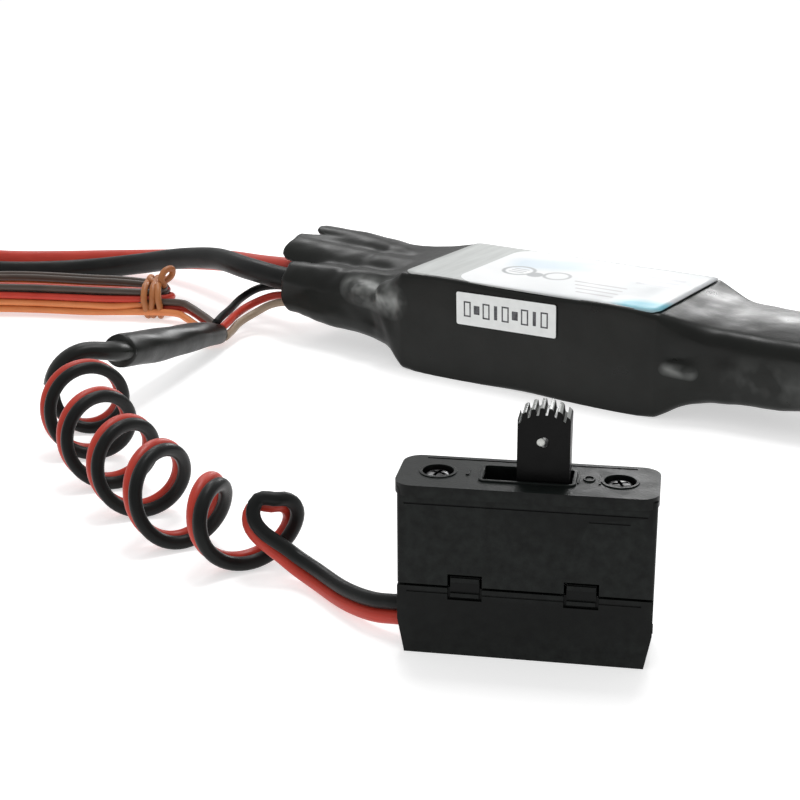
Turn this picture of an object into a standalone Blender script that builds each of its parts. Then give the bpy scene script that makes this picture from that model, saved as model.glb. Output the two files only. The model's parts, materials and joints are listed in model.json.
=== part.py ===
"""Brushless electronic speed controller with its leads and its slide-switch box.

The controller is three stacked boards under an aluminium plate, inside a heat-shrink sleeve with a
neck at each end.  It lies on its flat underside.  The battery leads, the receiver lead and the thin
harness wires leave the neck at -X; the neck at +X is open for the motor leads.  The harness runs
through a junction sleeve and a curly twin lead to a switch box that stands in front of the sleeve.

Frame: metres, +X along the sleeve towards the motor end, +Z up, the origin at the centre of the
sleeve's flat underside.
"""
import math

import bmesh
import bpy
from mathutils import Matrix, Vector

# ---------------------------------------------------------------- driving dimensions, metres
GAP = 0.0003                       # running gap between neighbouring pieces

# Heat-shrink sleeve.  Each station is a section's distance from the middle, half width, underside,
# height of the front and of the back upper edge, crown of the top above them and corner radius.
BLOCK_LENGTH = 0.0494
BLOCK_WIDTH = 0.0268
BLOCK_TOP = 0.0180
NECK_END = 0.0545
SLEEVE_WALL = 0.0006
BLOCK_END = (BLOCK_LENGTH / 2, BLOCK_WIDTH / 2, 0.0000, BLOCK_TOP, BLOCK_TOP, 0.0000, 0.0011)
BATTERY_END = [
    BLOCK_END,
    (0.0260, 0.0132, 0.0006, 0.0177, 0.0179, 0.0000, 0.0014),
    (0.0285, 0.0124, 0.0020, 0.0162, 0.0176, 0.0003, 0.0018),
    (0.0320, 0.0114, 0.0029, 0.0148, 0.0173, 0.0006, 0.0020),
    (0.0370, 0.0109, 0.0034, 0.0140, 0.0173, 0.0008, 0.0020),
    (0.0450, 0.0107, 0.0041, 0.0136, 0.0178, 0.0009, 0.0020),
    (0.0510, 0.0104, 0.0049, 0.0134, 0.0181, 0.0009, 0.0020),
    (NECK_END, 0.0102, 0.0053, 0.0133, 0.0182, 0.0009, 0.0020),
]
MOTOR_END = [
    BLOCK_END,
    (0.0260, 0.0132, 0.0006, 0.0178, 0.0178, 0.0000, 0.0014),
    (0.0285, 0.0124, 0.0020, 0.0167, 0.0167, 0.0005, 0.0018),
    (0.0320, 0.0114, 0.0029, 0.0156, 0.0156, 0.0012, 0.0020),
    (0.0370, 0.0109, 0.0034, 0.0152, 0.0152, 0.0016, 0.0020),
    (0.0450, 0.0107, 0.0041, 0.0150, 0.0150, 0.0017, 0.0020),
    (0.0510, 0.0104, 0.0049, 0.0148, 0.0148, 0.0016, 0.0020),
    (NECK_END, 0.0102, 0.0053, 0.0146, 0.0146, 0.0015, 0.0020),
]

# Board stack
BOARD_LENGTH = 0.0460
BOARD_WIDTH = 0.0230
BOARD_THICK = 0.0012
LOWER_BOARD_Z = 0.0016             # underside of each board
CONTROL_BOARD_Z = 0.0074
UPPER_BOARD_Z = 0.0116
MOSFET = (0.0060, 0.0050, 0.0010)
MOSFET_COLUMNS = (-0.0125, 0.0, 0.0125)
MOSFET_ROWS = (-0.0058, 0.0058)
PAD = (0.0360, 0.0200, 0.0005)
PLATE = (0.0440, 0.0230, 0.0018)
PLATE_EDGE = 0.0003
HEADER_X = 0.0200
HEADER_SECTION = (0.0025, 0.0180)
MICROCONTROLLER = (0.0070, 0.0070, 0.0010)
MICROCONTROLLER_PLACE = (-0.0060, 0.0030)
REGULATOR = (0.0065, 0.0066, 0.0023)
REGULATOR_X = -0.0130
REGULATOR_ROWS = (-0.0060, 0.0060)
CAPACITORS = [                     # radius, length, centre
    (0.0037, 0.0130, (-0.0440, 0.0058, 0.0118)),
    (0.0019, 0.0090, (-0.0415, -0.0016, 0.0069)),
]
TAB_WIDTH = 0.0046
TAB_THICK = 0.0008
MOTOR_PAD_LENGTH = 0.0066
MOTOR_PAD_ROWS = (-0.0070, 0.0, 0.0070)

# Labels
LABEL = (0.0474, 0.0246, 0.00015)
LABEL_CENTRE_X = 0.0004
LABEL_CORNER = 0.0016
LABEL_GAP = 0.0002
STICKER = (0.0196, 0.00012, 0.0058)
STICKER_CENTRE = (-0.0031, -BLOCK_WIDTH / 2 - LABEL_GAP, 0.0137)
STICKER_TILT = math.radians(1.2)

# Battery leads and their plug
BATTERY_WIRE = 0.0044
BLACK_LEAD = [
    (-0.0291, -0.0066, 0.0108), (-0.0420, -0.0068, 0.0110), (-0.0545, -0.0069, 0.0110),
    (-0.0660, -0.0050, 0.0112), (-0.0780, -0.0005, 0.0107), (-0.0910, 0.0030, 0.0083),
    (-0.1040, 0.0046, 0.0051), (-0.1150, 0.0025, 0.0030), (-0.1240, -0.0035, 0.0024),
    (-0.1340, -0.0092, 0.0023), (-0.1460, -0.0125, 0.0024), (-0.1590, -0.0133, 0.0029),
    (-0.1690, -0.0135, 0.0034), (-0.1750, -0.0135, 0.0035),
]
RED_LEAD = [
    (-0.0291, -0.0001, 0.0110), (-0.0420, -0.0003, 0.0113), (-0.0545, -0.0004, 0.0113),
    (-0.0680, 0.0020, 0.0108), (-0.0810, 0.0070, 0.0093), (-0.0940, 0.0112, 0.0072),
    (-0.1060, 0.0125, 0.0048), (-0.1180, 0.0095, 0.0030), (-0.1290, 0.0045, 0.0024),
    (-0.1390, -0.0010, 0.0023), (-0.1500, -0.0045, 0.0024), (-0.1610, -0.0061, 0.0029),
    (-0.1690, -0.0065, 0.0034), (-0.1750, -0.0065, 0.0035),
]
PLUG_HOUSING = (0.0150, 0.0150, 0.0070)
PLUG_CENTRE = (-0.1828, -0.0100, 0.0035)
PLUG_PIN_RADIUS = 0.0016
PLUG_PIN_LENGTH = 0.0070
PLUG_PIN_ROWS = (-0.0135, -0.0065)
PLUG_EDGE = 0.0006

# Junction sleeve, from its end at the thin wires to its end at the curly lead
JUNCTION_WIRES_END = (-0.0614, -0.0212, 0.0027)
JUNCTION_COIL_END = (-0.0512, -0.0583, 0.0108)
JUNCTION_DIAMETER = 0.0052

# Thin harness wires, from the control board to the junction sleeve
THIN_WIRE = 0.0015
HARNESS_ROUTES = {
    "harness_wire_tan": [
        (-0.0245, -0.0088, 0.0075), (-0.0340, -0.0088, 0.0070), (-0.0440, -0.0084, 0.0068),
        (-0.0545, -0.0078, 0.0068), (-0.0588, -0.0080, 0.0057), (-0.0612, -0.0103, 0.0041),
        (-0.0615, -0.0145, 0.0032), (-0.0607, -0.0178, 0.0025), (-0.0599, -0.0207, 0.0022),
    ],
    "harness_wire_red": [
        (-0.0245, -0.0071, 0.0080), (-0.0340, -0.0071, 0.0080), (-0.0440, -0.0070, 0.0079),
        (-0.0545, -0.0062, 0.0077), (-0.0600, -0.0060, 0.0068), (-0.0632, -0.0089, 0.0052),
        (-0.0631, -0.0136, 0.0043), (-0.0618, -0.0172, 0.0041), (-0.0608, -0.0205, 0.0038),
    ],
    "harness_wire_black": [
        (-0.0245, -0.0054, 0.0080), (-0.0340, -0.0054, 0.0079), (-0.0440, -0.0052, 0.0077),
        (-0.0545, -0.0042, 0.0076), (-0.0610, -0.0016, 0.0077), (-0.0654, -0.0030, 0.0070),
        (-0.0664, -0.0072, 0.0059), (-0.0652, -0.0126, 0.0049), (-0.0636, -0.0170, 0.0048),
        (-0.0623, -0.0204, 0.0045),
    ],
}

# Receiver lead: a short run, a folded hank with its tie, a short run and a three-way plug
RECEIVER_BUNDLE = 0.0026
RECEIVER_START = [
    (-0.0622, -0.0205, 0.0018), (-0.0640, -0.0178, 0.0019), (-0.0672, -0.0160, 0.0022),
    (-0.0712, -0.0141, 0.0027), (-0.0752, -0.0118, 0.0034), (-0.0790, -0.0098, 0.0038),
    (-0.0827, -0.0090, 0.0038),
]
HANK_TIP = (-0.0842, -0.0056)
HANK_DIRECTION = math.radians(213.7)
HANK_LENGTH = 0.0620
HANK_WIDTH = 0.0120
HANK_BOTTOM = 0.0008
HANK_TOP = 0.0068
TIE_PLACE = 0.0068
TIE_WIDTH = 0.0030
TIE_WALL = 0.0005
TIE_CORNER = 0.0010
RECEIVER_END = [
    (-0.1361, -0.0403, 0.0038), (-0.1395, -0.0428, 0.0033), (-0.1432, -0.0463, 0.0024),
    (-0.1450, -0.0508, 0.0018), (-0.1442, -0.0552, 0.0017), (-0.1420, -0.0590, 0.0017),
]
SERVO_PLUG = (0.0140, 0.0079, 0.0030)
SERVO_PLUG_DIRECTION = math.radians(-60.0)

# Curly twin lead: centre of each turn, seen from above, and the solid that holds it
TWIN_WIRE = 0.0019
COIL_OUTER = 0.0141
COIL_AXIS = [
    (-0.0535, -0.0650), (-0.0465, -0.0730), (-0.0355, -0.0814), (-0.0242, -0.0874),
    (-0.0126, -0.0926), (0.0000, -0.0955), (0.0096, -0.0955),
]
RED_TAIL = [
    (0.0105, -0.0955, 0.0013), (0.0135, -0.0953, 0.0011), (0.0175, -0.0962, 0.0011),
    (0.0236, -0.0987, 0.0013), (0.0285, -0.1000, 0.0019), (0.0318, -0.0999, 0.0024),
]
BLACK_TAIL = [
    (0.0105, -0.0946, 0.0032), (0.0137, -0.0946, 0.0031), (0.0177, -0.0956, 0.0031),
    (0.0237, -0.0982, 0.0033), (0.0286, -0.0997, 0.0040), (0.0318, -0.0999, 0.0045),
]

# Switch box, in its own frame: x along the slot, y to the back, z up from its base
SWITCH_CENTRE = (0.0458, -0.0933, 0.0)
SWITCH_YAW = math.radians(23.7)
FLANGE = (0.0300, 0.0098, 0.0014)
FLANGE_CORNER = 0.0022
FLANGE_TOP = 0.0213
BODY = (0.0294, 0.0086)
BODY_WALL = 0.0010
PARTING = 0.0087
COVER_TAPER = 0.0008
COVER_TAPER_HEIGHT = 0.0042
CAVITY_TOP = 0.0183
SLOT = (0.0102, 0.0042)
CLIP_X = 0.0067
CLIP_WIDTH = 0.0034
CLIP_TOP = 0.0100
WINDOW_WIDTH = 0.0040
WINDOW = (0.0071, 0.0103)
CLIP_THICK = 0.0009
NOTCH_DEPTH = 0.0004
SCREW_X = 0.01045
SCREW_HOLE = 0.0011
SCREW_RECESS = 0.0018
RECESS_DEPTH = 0.0011
SCREW_SHANK = 0.0008
SCREW_HEAD = 0.0016
SCREW_END = 0.0152
CABLE_SLOT = (0.0024, 0.0050, 0.0034)         # width, height, height of its centre
CABLE_Y = -0.0004
RED_TAIL_INSIDE = [(-0.0125, CABLE_Y, 0.0025), (-0.0080, CABLE_Y, 0.0028), (-0.0040, CABLE_Y, 0.0040),
                   (-0.0013, CABLE_Y, 0.0068)]
BLACK_TAIL_INSIDE = [(-0.0125, CABLE_Y, 0.0046), (-0.0095, CABLE_Y, 0.0051),
                     (-0.0060, CABLE_Y, 0.0072)]

# Inside the box: the switch's metal frame, its terminal board and its terminals
FRAME = (0.0246, 0.0060, 0.0005)
FRAME_TOP = 0.0180
FRAME_SIDE = (0.0184, 0.0005, 0.0054)
TERMINAL_BOARD = (0.0176, 0.0044, 0.0010)
TERMINAL_BOARD_Z = 0.0131
TERMINALS = (-0.0047, 0.0, 0.0047)
TERMINAL = (0.0012, 0.0016, 0.0072)
TERMINAL_HOLE = (0.0018, 0.0022, 0.0030)
TERMINAL_TOP = 0.0138

# Slider
LEVER_WIDTH = 0.0060
LEVER_DEPTH = 0.0036
LEVER_REST = 0.0018                # lever's centre line with the switch at the +X end of its slot
LEVER_SHOULDER = 0.0290
LEVER_CROWN = 0.0013
LEVER_RIBS = 6
RIB_DEPTH = 0.00045
LEVER_HOLE = 0.0006
LEVER_HOLE_Z = 0.0262
SLIDER_BLOCK = (0.0084, 0.0044, 0.0024)
SLIDER_BLOCK_Z = 0.0148
CONTACT = (0.0066, 0.0024, 0.0004)


# ---------------------------------------------------------------- scene and shape helpers
def clear_scene():
    for obj in list(bpy.data.objects):
        bpy.data.objects.remove(obj)


def collection(name):
    found = bpy.data.collections.new(name)
    bpy.context.scene.collection.children.link(found)
    return found


def material(name, colour, roughness, metallic=0.0):
    made = bpy.data.materials.new(name)
    made.use_nodes = True
    shader = made.node_tree.nodes["Principled BSDF"]
    shader.inputs["Base Color"].default_value = (*colour, 1.0)
    shader.inputs["Roughness"].default_value = roughness
    shader.inputs["Metallic"].default_value = metallic
    return made


def add(name, data, finish, parent=None):
    obj = bpy.data.objects.new(name, data)
    PARTS.objects.link(obj)
    obj.parent = parent
    if finish is not None:
        data.materials.append(finish)
    return obj


def block(name, size, centre, finish, parent=None):
    mesh = bpy.data.meshes.new(name)
    shape = bmesh.new()
    bmesh.ops.create_cube(shape, size=1.0, matrix=Matrix.Diagonal((*size, 1.0)))
    shape.to_mesh(mesh)
    shape.free()
    obj = add(name, mesh, finish, parent)
    obj.location = centre
    return obj


def cylinder(name, radius, depth, centre, finish, axis="Z", sides=16, parent=None):
    turn = {"X": Matrix.Rotation(math.pi / 2, 4, "Y"), "Y": Matrix.Rotation(math.pi / 2, 4, "X"),
            "Z": Matrix.Identity(4)}[axis]
    mesh = bpy.data.meshes.new(name)
    shape = bmesh.new()
    bmesh.ops.create_cone(shape, cap_ends=True, segments=sides, radius1=radius, radius2=radius,
                          depth=depth, matrix=turn)
    shape.to_mesh(mesh)
    shape.free()
    obj = add(name, mesh, finish, parent)
    obj.location = centre
    return obj


def turned(name, profile, centre, finish, sides=16, parent=None):
    """Screw a profile of (radius, height), listed down its outer side, about the Z axis."""
    mesh = bpy.data.meshes.new(name)
    points = [(radius, 0.0, height) for radius, height in profile]
    mesh.from_pydata(points, [(i, i + 1) for i in range(len(points) - 1)], [])
    obj = add(name, mesh, finish, parent)
    obj.location = centre
    screw = obj.modifiers.new("turn", "SCREW")
    screw.steps = sides
    screw.render_steps = sides
    screw.use_merge_vertices = True
    screw.merge_threshold = 0.00001
    return obj


def bevelled(obj, width, segments=1):
    bevel = obj.modifiers.new("edges", "BEVEL")
    bevel.width = width
    bevel.segments = segments
    bevel.limit_method = "ANGLE"
    return obj


def as_mesh(curve):
    """Replace a curve object with the mesh that it makes, its caps welded on."""
    bpy.context.view_layer.update()
    ready = curve.evaluated_get(bpy.context.evaluated_depsgraph_get())
    mesh = bpy.data.meshes.new_from_object(ready)
    shape = bmesh.new()
    shape.from_mesh(mesh)
    bmesh.ops.remove_doubles(shape, verts=shape.verts, dist=0.000001)
    shape.to_mesh(mesh)
    shape.free()
    name = curve.name
    parent = curve.parent
    place = curve.matrix_local.copy()
    bpy.data.objects.remove(curve)
    obj = add(name, mesh, None, parent)
    obj.matrix_local = place
    return obj


def plate(name, outlines, thickness, finish, parent=None):
    """Extrude flat outlines, the first one outside and any others holes, along local Z."""
    data = bpy.data.curves.new(name, "CURVE")
    data.dimensions = "2D"
    data.fill_mode = "BOTH"
    data.extrude = thickness / 2
    data.render_resolution_u = 0
    for outline in outlines:
        spline = data.splines.new("POLY")
        spline.points.add(len(outline) - 1)
        for point, (x, y) in zip(spline.points, outline):
            point.co = (x, y, 0.0, 1.0)
        spline.use_cyclic_u = True
    return add(name, data, finish, parent)


def rounded_rectangle(length, width, radius, steps=4):
    outline = []
    for quarter, (sx, sy) in enumerate([(1, 1), (-1, 1), (-1, -1), (1, -1)]):
        for step in range(steps + 1):
            angle = math.pi / 2 * (quarter + step / steps)
            outline.append((sx * (length / 2 - radius) + radius * math.cos(angle),
                            sy * (width / 2 - radius) + radius * math.sin(angle)))
    return outline


def smooth_route(route, step):
    """Points a step apart on the smooth curve (centripetal Catmull-Rom) through a route."""
    points = [Vector(p) for p in route]
    points = [2 * points[0] - points[1]] + points + [2 * points[-1] - points[-2]]
    fine = []
    for p0, p1, p2, p3 in zip(points, points[1:], points[2:], points[3:]):
        t1 = math.sqrt((p1 - p0).length)
        t2 = t1 + math.sqrt((p2 - p1).length)
        t3 = t2 + math.sqrt((p3 - p2).length)
        for k in range(16):
            t = t1 + (t2 - t1) * k / 16
            a1 = p0.lerp(p1, t / t1)
            a2 = p1.lerp(p2, (t - t1) / (t2 - t1))
            a3 = p2.lerp(p3, (t - t2) / (t3 - t2))
            b1 = a1.lerp(a2, t / t2)
            b2 = a2.lerp(a3, (t - t1) / (t3 - t1))
            fine.append(b1.lerp(b2, (t - t1) / (t2 - t1)))
    fine.append(points[-2])
    lengths = [0.0]
    for a, b in zip(fine, fine[1:]):
        lengths.append(lengths[-1] + (b - a).length)
    count = max(2, round(lengths[-1] / step))
    even = []
    index = 0
    for k in range(count + 1):
        want = lengths[-1] * k / count
        while index < len(fine) - 2 and lengths[index + 1] < want:
            index += 1
        share = (want - lengths[index]) / (lengths[index + 1] - lengths[index])
        even.append(fine[index].lerp(fine[index + 1], share))
    return even


def tube(name, points, diameter, finish, resolution=2):
    """A round wire along a list of points, its ends closed flat."""
    data = bpy.data.curves.new(name, "CURVE")
    data.dimensions = "3D"
    data.bevel_depth = diameter / 2
    data.bevel_resolution = resolution
    data.use_fill_caps = True
    data.render_resolution_u = 0
    spline = data.splines.new("POLY")
    spline.points.add(len(points) - 1)
    for point, place in zip(spline.points, points):
        point.co = (*place, 1.0)
    return add(name, data, finish)


def boolean(obj, tool, operation):
    tool.hide_render = True
    tool.display_type = "WIRE"
    PARTS.objects.unlink(tool)
    CUTTERS.objects.link(tool)
    change = obj.modifiers.new(tool.name, "BOOLEAN")
    change.operation = operation
    change.solver = "EXACT"
    change.object = tool
    return obj


def box_tool(obj, name, size, centre, operation="DIFFERENCE", parent=None):
    return boolean(obj, block(name, size, centre, None, parent), operation)


def round_tool(obj, name, radius, depth, centre, axis="Z", parent=None):
    return boolean(obj, cylinder(name, radius, depth, centre, None, axis, 16, parent), "DIFFERENCE")


def smooth(obj):
    obj.data.shade_smooth()
    return obj


# ---------------------------------------------------------------- controller
def sleeve_ring(x, half_width, bottom, front, back, crown, radius):
    """Section of the sleeve at x: a rounded box whose top rises to the back and swells in the middle."""
    ring = []
    for quarter, (sy, z) in enumerate([(1, front - radius), (-1, front - radius),
                                       (-1, bottom + radius), (1, bottom + radius)]):
        for step in range(4):
            angle = math.pi / 2 * (quarter + step / 3)
            ring.append([x, sy * (half_width - radius) + radius * math.cos(angle),
                         z + radius * math.sin(angle)])
        if quarter == 0:
            ring += [[x, half_width * share, front] for share in (0.5, 0.0, -0.5)]
    for point in ring:
        if point[2] > front - radius - GAP:
            across = point[1] / half_width
            share = (1 + across) / 2
            rise = (back - front) * share * share * (3 - 2 * share)
            point[2] += rise + crown * (1 - across ** 2)
    return ring


def make_sleeve():
    left = [(-x, *rest) for x, *rest in reversed(BATTERY_END)]
    rings = [sleeve_ring(*station) for station in left + MOTOR_END]
    mesh = bpy.data.meshes.new("heat_shrink_sleeve")
    shape = bmesh.new()
    rows = [[shape.verts.new(point) for point in ring] for ring in rings]
    count = len(rows[0])
    for row, after in zip(rows, rows[1:]):
        for i in range(count):
            j = (i + 1) % count
            shape.faces.new((row[i], row[j], after[j], after[i]))
    shape.normal_update()
    bmesh.ops.recalc_face_normals(shape, faces=shape.faces)
    shape.to_mesh(mesh)
    shape.free()
    sleeve = add("heat_shrink_sleeve", mesh, MATERIALS["heat_shrink"])
    shell = sleeve.modifiers.new("wall", "SOLIDIFY")
    shell.thickness = SLEEVE_WALL
    shell.offset = -1.0
    return smooth(sleeve)


def make_labels():
    label = as_mesh(plate("top_label", [rounded_rectangle(LABEL[0], LABEL[1], LABEL_CORNER, 3)],
                          LABEL[2], None))
    label.data.materials.append(MATERIALS["label"])
    label.location = (LABEL_CENTRE_X, 0.0, BLOCK_TOP + LABEL_GAP + LABEL[2] / 2)
    sticker = block("side_sticker", STICKER, STICKER_CENTRE, MATERIALS["sticker"])
    sticker.rotation_euler = (0.0, -STICKER_TILT, 0.0)


def make_boards():
    size = (BOARD_LENGTH, BOARD_WIDTH, BOARD_THICK)
    for name, low in (("lower_power_board", LOWER_BOARD_Z), ("control_board", CONTROL_BOARD_Z),
                      ("upper_power_board", UPPER_BOARD_Z)):
        block(name, size, (0.0, 0.0, low + BOARD_THICK / 2), MATERIALS["circuit_board"])
    for name, low, high in (("board_header_lower", LOWER_BOARD_Z, CONTROL_BOARD_Z),
                            ("board_header_upper", CONTROL_BOARD_Z, UPPER_BOARD_Z)):
        bottom = low + BOARD_THICK + GAP
        top = high - GAP
        block(name, (*HEADER_SECTION, top - bottom), (HEADER_X, 0.0, (top + bottom) / 2),
              MATERIALS["component"])


def make_components():
    top = UPPER_BOARD_Z + BOARD_THICK + GAP
    number = 1
    for x in MOSFET_COLUMNS:
        for y in MOSFET_ROWS:
            block("mosfet_%d" % number, MOSFET, (x, y, top + MOSFET[2] / 2), MATERIALS["component"])
            number += 1
    pad_bottom = top + MOSFET[2] + GAP
    block("thermal_pad", PAD, (0.0, 0.0, pad_bottom + PAD[2] / 2), MATERIALS["thermal_pad"])
    plate_bottom = pad_bottom + PAD[2] + GAP
    heat_sink = block("heat_sink_plate", PLATE, (0.0, 0.0, plate_bottom + PLATE[2] / 2),
                      MATERIALS["aluminium"])
    bevelled(heat_sink, PLATE_EDGE)
    on_control = CONTROL_BOARD_Z + BOARD_THICK + GAP
    block("microcontroller", MICROCONTROLLER,
          (*MICROCONTROLLER_PLACE, on_control + MICROCONTROLLER[2] / 2), MATERIALS["component"])
    on_lower = LOWER_BOARD_Z + BOARD_THICK + GAP
    for number, y in enumerate(REGULATOR_ROWS, 1):
        block("voltage_regulator_%d" % number, REGULATOR,
              (REGULATOR_X, y, on_lower + REGULATOR[2] / 2), MATERIALS["component"])
    for number, (radius, length, centre) in enumerate(CAPACITORS, 1):
        smooth(cylinder("input_capacitor_%d" % number, radius, length, centre,
                        MATERIALS["capacitor"], "X", 14))


def make_solder_tabs():
    """Copper tabs between the boards' ends and the battery leads, and pads for the motor leads."""
    board_end = BOARD_LENGTH / 2 + GAP
    for name, lead in (("battery_tab_negative", BLACK_LEAD), ("battery_tab_positive", RED_LEAD)):
        x, y, z = lead[0]
        outer = x + GAP
        block(name, (-board_end - outer, TAB_WIDTH, TAB_THICK),
              ((outer - board_end) / 2, y, z + TAB_THICK), MATERIALS["copper"])
    for number, y in enumerate(MOTOR_PAD_ROWS, 1):
        block("motor_pad_%d" % number, (MOTOR_PAD_LENGTH, TAB_WIDTH, TAB_THICK),
              (board_end + MOTOR_PAD_LENGTH / 2, y, CONTROL_BOARD_Z + BOARD_THICK / 2),
              MATERIALS["copper"])


# ---------------------------------------------------------------- leads
def make_battery_leads():
    for name, route, finish in (("battery_lead_black", BLACK_LEAD, "black_wire"),
                                ("battery_lead_red", RED_LEAD, "red_wire")):
        tube(name, smooth_route(route, 2 * BATTERY_WIRE), BATTERY_WIRE, MATERIALS[finish], 3)
    housing = block("battery_plug_housing", PLUG_HOUSING, PLUG_CENTRE, MATERIALS["plug_plastic"])
    bevelled(housing, PLUG_EDGE)
    front = PLUG_CENTRE[0] - PLUG_HOUSING[0] / 2 - GAP
    for number, y in enumerate(PLUG_PIN_ROWS, 1):
        pin = cylinder("battery_plug_pin_%d" % number, PLUG_PIN_RADIUS, PLUG_PIN_LENGTH,
                       (front - PLUG_PIN_LENGTH / 2, y, PLUG_CENTRE[2]), MATERIALS["gold"], "X", 12)
        smooth(pin)


def make_junction():
    tube("junction_sleeve", [JUNCTION_WIRES_END, JUNCTION_COIL_END], JUNCTION_DIAMETER,
         MATERIALS["heat_shrink"], 4)
    colours = {"harness_wire_tan": "tan_wire", "harness_wire_red": "red_wire",
               "harness_wire_black": "black_wire"}
    for name, route in HARNESS_ROUTES.items():
        tube(name, smooth_route(route, 2 * THIN_WIRE), THIN_WIRE, MATERIALS[colours[name]])


def hank_point(along, across, height):
    c = math.cos(HANK_DIRECTION)
    s = math.sin(HANK_DIRECTION)
    return Vector((HANK_TIP[0] + c * along - s * across, HANK_TIP[1] + s * along + c * across, height))


def make_receiver_lead():
    step = 2 * RECEIVER_BUNDLE
    tube("receiver_lead_start", smooth_route(RECEIVER_START, step), RECEIVER_BUNDLE,
         MATERIALS["orange_wire"])
    hank = plate("receiver_lead_hank",
                 [rounded_rectangle(HANK_LENGTH, HANK_WIDTH, HANK_WIDTH * 0.49, 6)],
                 HANK_TOP - HANK_BOTTOM, MATERIALS["orange_wire"])
    hank.location = hank_point(HANK_LENGTH / 2, 0.0, (HANK_TOP + HANK_BOTTOM) / 2)
    hank.rotation_euler = (0.0, 0.0, HANK_DIRECTION)
    inner = (HANK_WIDTH + 2 * GAP, HANK_TOP - HANK_BOTTOM + 2 * GAP)
    outer = (inner[0] + 2 * TIE_WALL, inner[1] + 2 * TIE_WALL)
    tie = plate("hank_tie", [rounded_rectangle(*outer, TIE_CORNER, 3),
                             rounded_rectangle(*inner, TIE_CORNER / 2, 3)], TIE_WIDTH, MATERIALS["tie"])
    tie.location = hank_point(TIE_PLACE, 0.0, (HANK_TOP + HANK_BOTTOM) / 2)
    tie.rotation_euler = (math.pi / 2, 0.0, HANK_DIRECTION + math.pi / 2)
    tube("receiver_lead_end", smooth_route(RECEIVER_END, step), RECEIVER_BUNDLE,
         MATERIALS["orange_wire"])
    end = Vector(RECEIVER_END[-1])
    ahead = Vector((math.cos(SERVO_PLUG_DIRECTION), math.sin(SERVO_PLUG_DIRECTION), 0.0))
    middle = end + ahead * (GAP + SERVO_PLUG[0] / 2)
    middle.z = SERVO_PLUG[2] / 2
    plug = block("servo_plug", SERVO_PLUG, middle, MATERIALS["plug_plastic"])
    plug.rotation_euler = (0.0, 0.0, SERVO_PLUG_DIRECTION)
    bevelled(plug, PLUG_EDGE / 2)


def make_switch_lead():
    axis = [(x, y, COIL_OUTER / 2) for x, y in COIL_AXIS]
    tube("switch_lead_coil", smooth_route(axis, COIL_OUTER / 2), COIL_OUTER, MATERIALS["black_wire"], 4)
    into_world = Matrix.Translation(SWITCH_CENTRE) @ Matrix.Rotation(SWITCH_YAW, 4, "Z")
    for name, outside, inside, finish in (
            ("switch_lead_red", RED_TAIL, RED_TAIL_INSIDE, "red_wire"),
            ("switch_lead_black", BLACK_TAIL, BLACK_TAIL_INSIDE, "black_wire")):
        route = list(outside) + [into_world @ Vector(point) for point in inside]
        tube(name, smooth_route(route, 2 * TWIN_WIRE), TWIN_WIRE, MATERIALS[finish])


# ---------------------------------------------------------------- switch box
def make_upper_housing(switch):
    flange = as_mesh(plate("switch_housing", [rounded_rectangle(FLANGE[0], FLANGE[1], FLANGE_CORNER, 4)],
                           FLANGE[2], None, switch))
    flange.data.materials.append(MATERIALS["switch_plastic"])
    flange.location = (0.0, 0.0, FLANGE_TOP - FLANGE[2] / 2)
    bottom = PARTING + GAP / 2
    body_top = FLANGE_TOP - FLANGE[2] / 2
    box_tool(flange, "housing_body", (*BODY, body_top - bottom), (0.0, 0.0, (body_top + bottom) / 2),
             "UNION", switch)
    cavity = (BODY[0] - 2 * BODY_WALL, BODY[1] - 2 * BODY_WALL, CAVITY_TOP - bottom + BODY_WALL)
    box_tool(flange, "housing_cavity", cavity, (0.0, 0.0, CAVITY_TOP - cavity[2] / 2), parent=switch)
    through = 2 * (FLANGE_TOP - CAVITY_TOP) + GAP
    box_tool(flange, "housing_slot", (*SLOT, through), (0.0, 0.0, FLANGE_TOP), parent=switch)
    for side in (-1, 1):
        place = (side * SCREW_X, 0.0, FLANGE_TOP)
        round_tool(flange, "screw_hole", SCREW_HOLE, through, place, parent=switch)
        round_tool(flange, "screw_recess", SCREW_RECESS, 2 * RECESS_DEPTH, place, parent=switch)
        box_tool(flange, "clip_window", (WINDOW_WIDTH, 2 * BODY[1], 2 * (WINDOW[1] - bottom)),
                 (side * CLIP_X, 0.0, bottom), parent=switch)


def make_lower_cover(switch):
    top = PARTING - GAP / 2
    half = BODY[0] / 2
    outline = [(half - COVER_TAPER, 0.0), (half, COVER_TAPER_HEIGHT), (half, top),
               (-half, top), (-half, COVER_TAPER_HEIGHT), (COVER_TAPER - half, 0.0)]
    cover = as_mesh(plate("switch_cover", [outline], BODY[1], None, switch))
    cover.data.materials.append(MATERIALS["switch_plastic"])
    cover.rotation_euler = (math.pi / 2, 0.0, 0.0)
    cavity = (BODY[0] - 2 * (BODY_WALL + COVER_TAPER), BODY[1] - 2 * BODY_WALL, top)
    box_tool(cover, "cover_cavity", cavity, (0.0, 0.0, BODY_WALL + top / 2), parent=switch)
    notch = (WINDOW_WIDTH, 2 * NOTCH_DEPTH, 2 * (top - WINDOW[0]))
    clip_low = WINDOW[0] + GAP
    clip = (CLIP_WIDTH, CLIP_THICK, CLIP_TOP - clip_low)
    clip_y = BODY[1] / 2 - NOTCH_DEPTH / 2 - CLIP_THICK / 2
    for side in (-1, 1):
        for face in (-1, 1):
            x = side * CLIP_X
            box_tool(cover, "clip_notch", notch, (x, face * BODY[1] / 2, top), parent=switch)
            box_tool(cover, "clip", clip, (x, face * clip_y, (CLIP_TOP + clip_low) / 2), "UNION", switch)
    box_tool(cover, "cable_slot", (4 * BODY_WALL, *CABLE_SLOT[:2]), (-half, CABLE_Y, CABLE_SLOT[2]),
             parent=switch)


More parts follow.
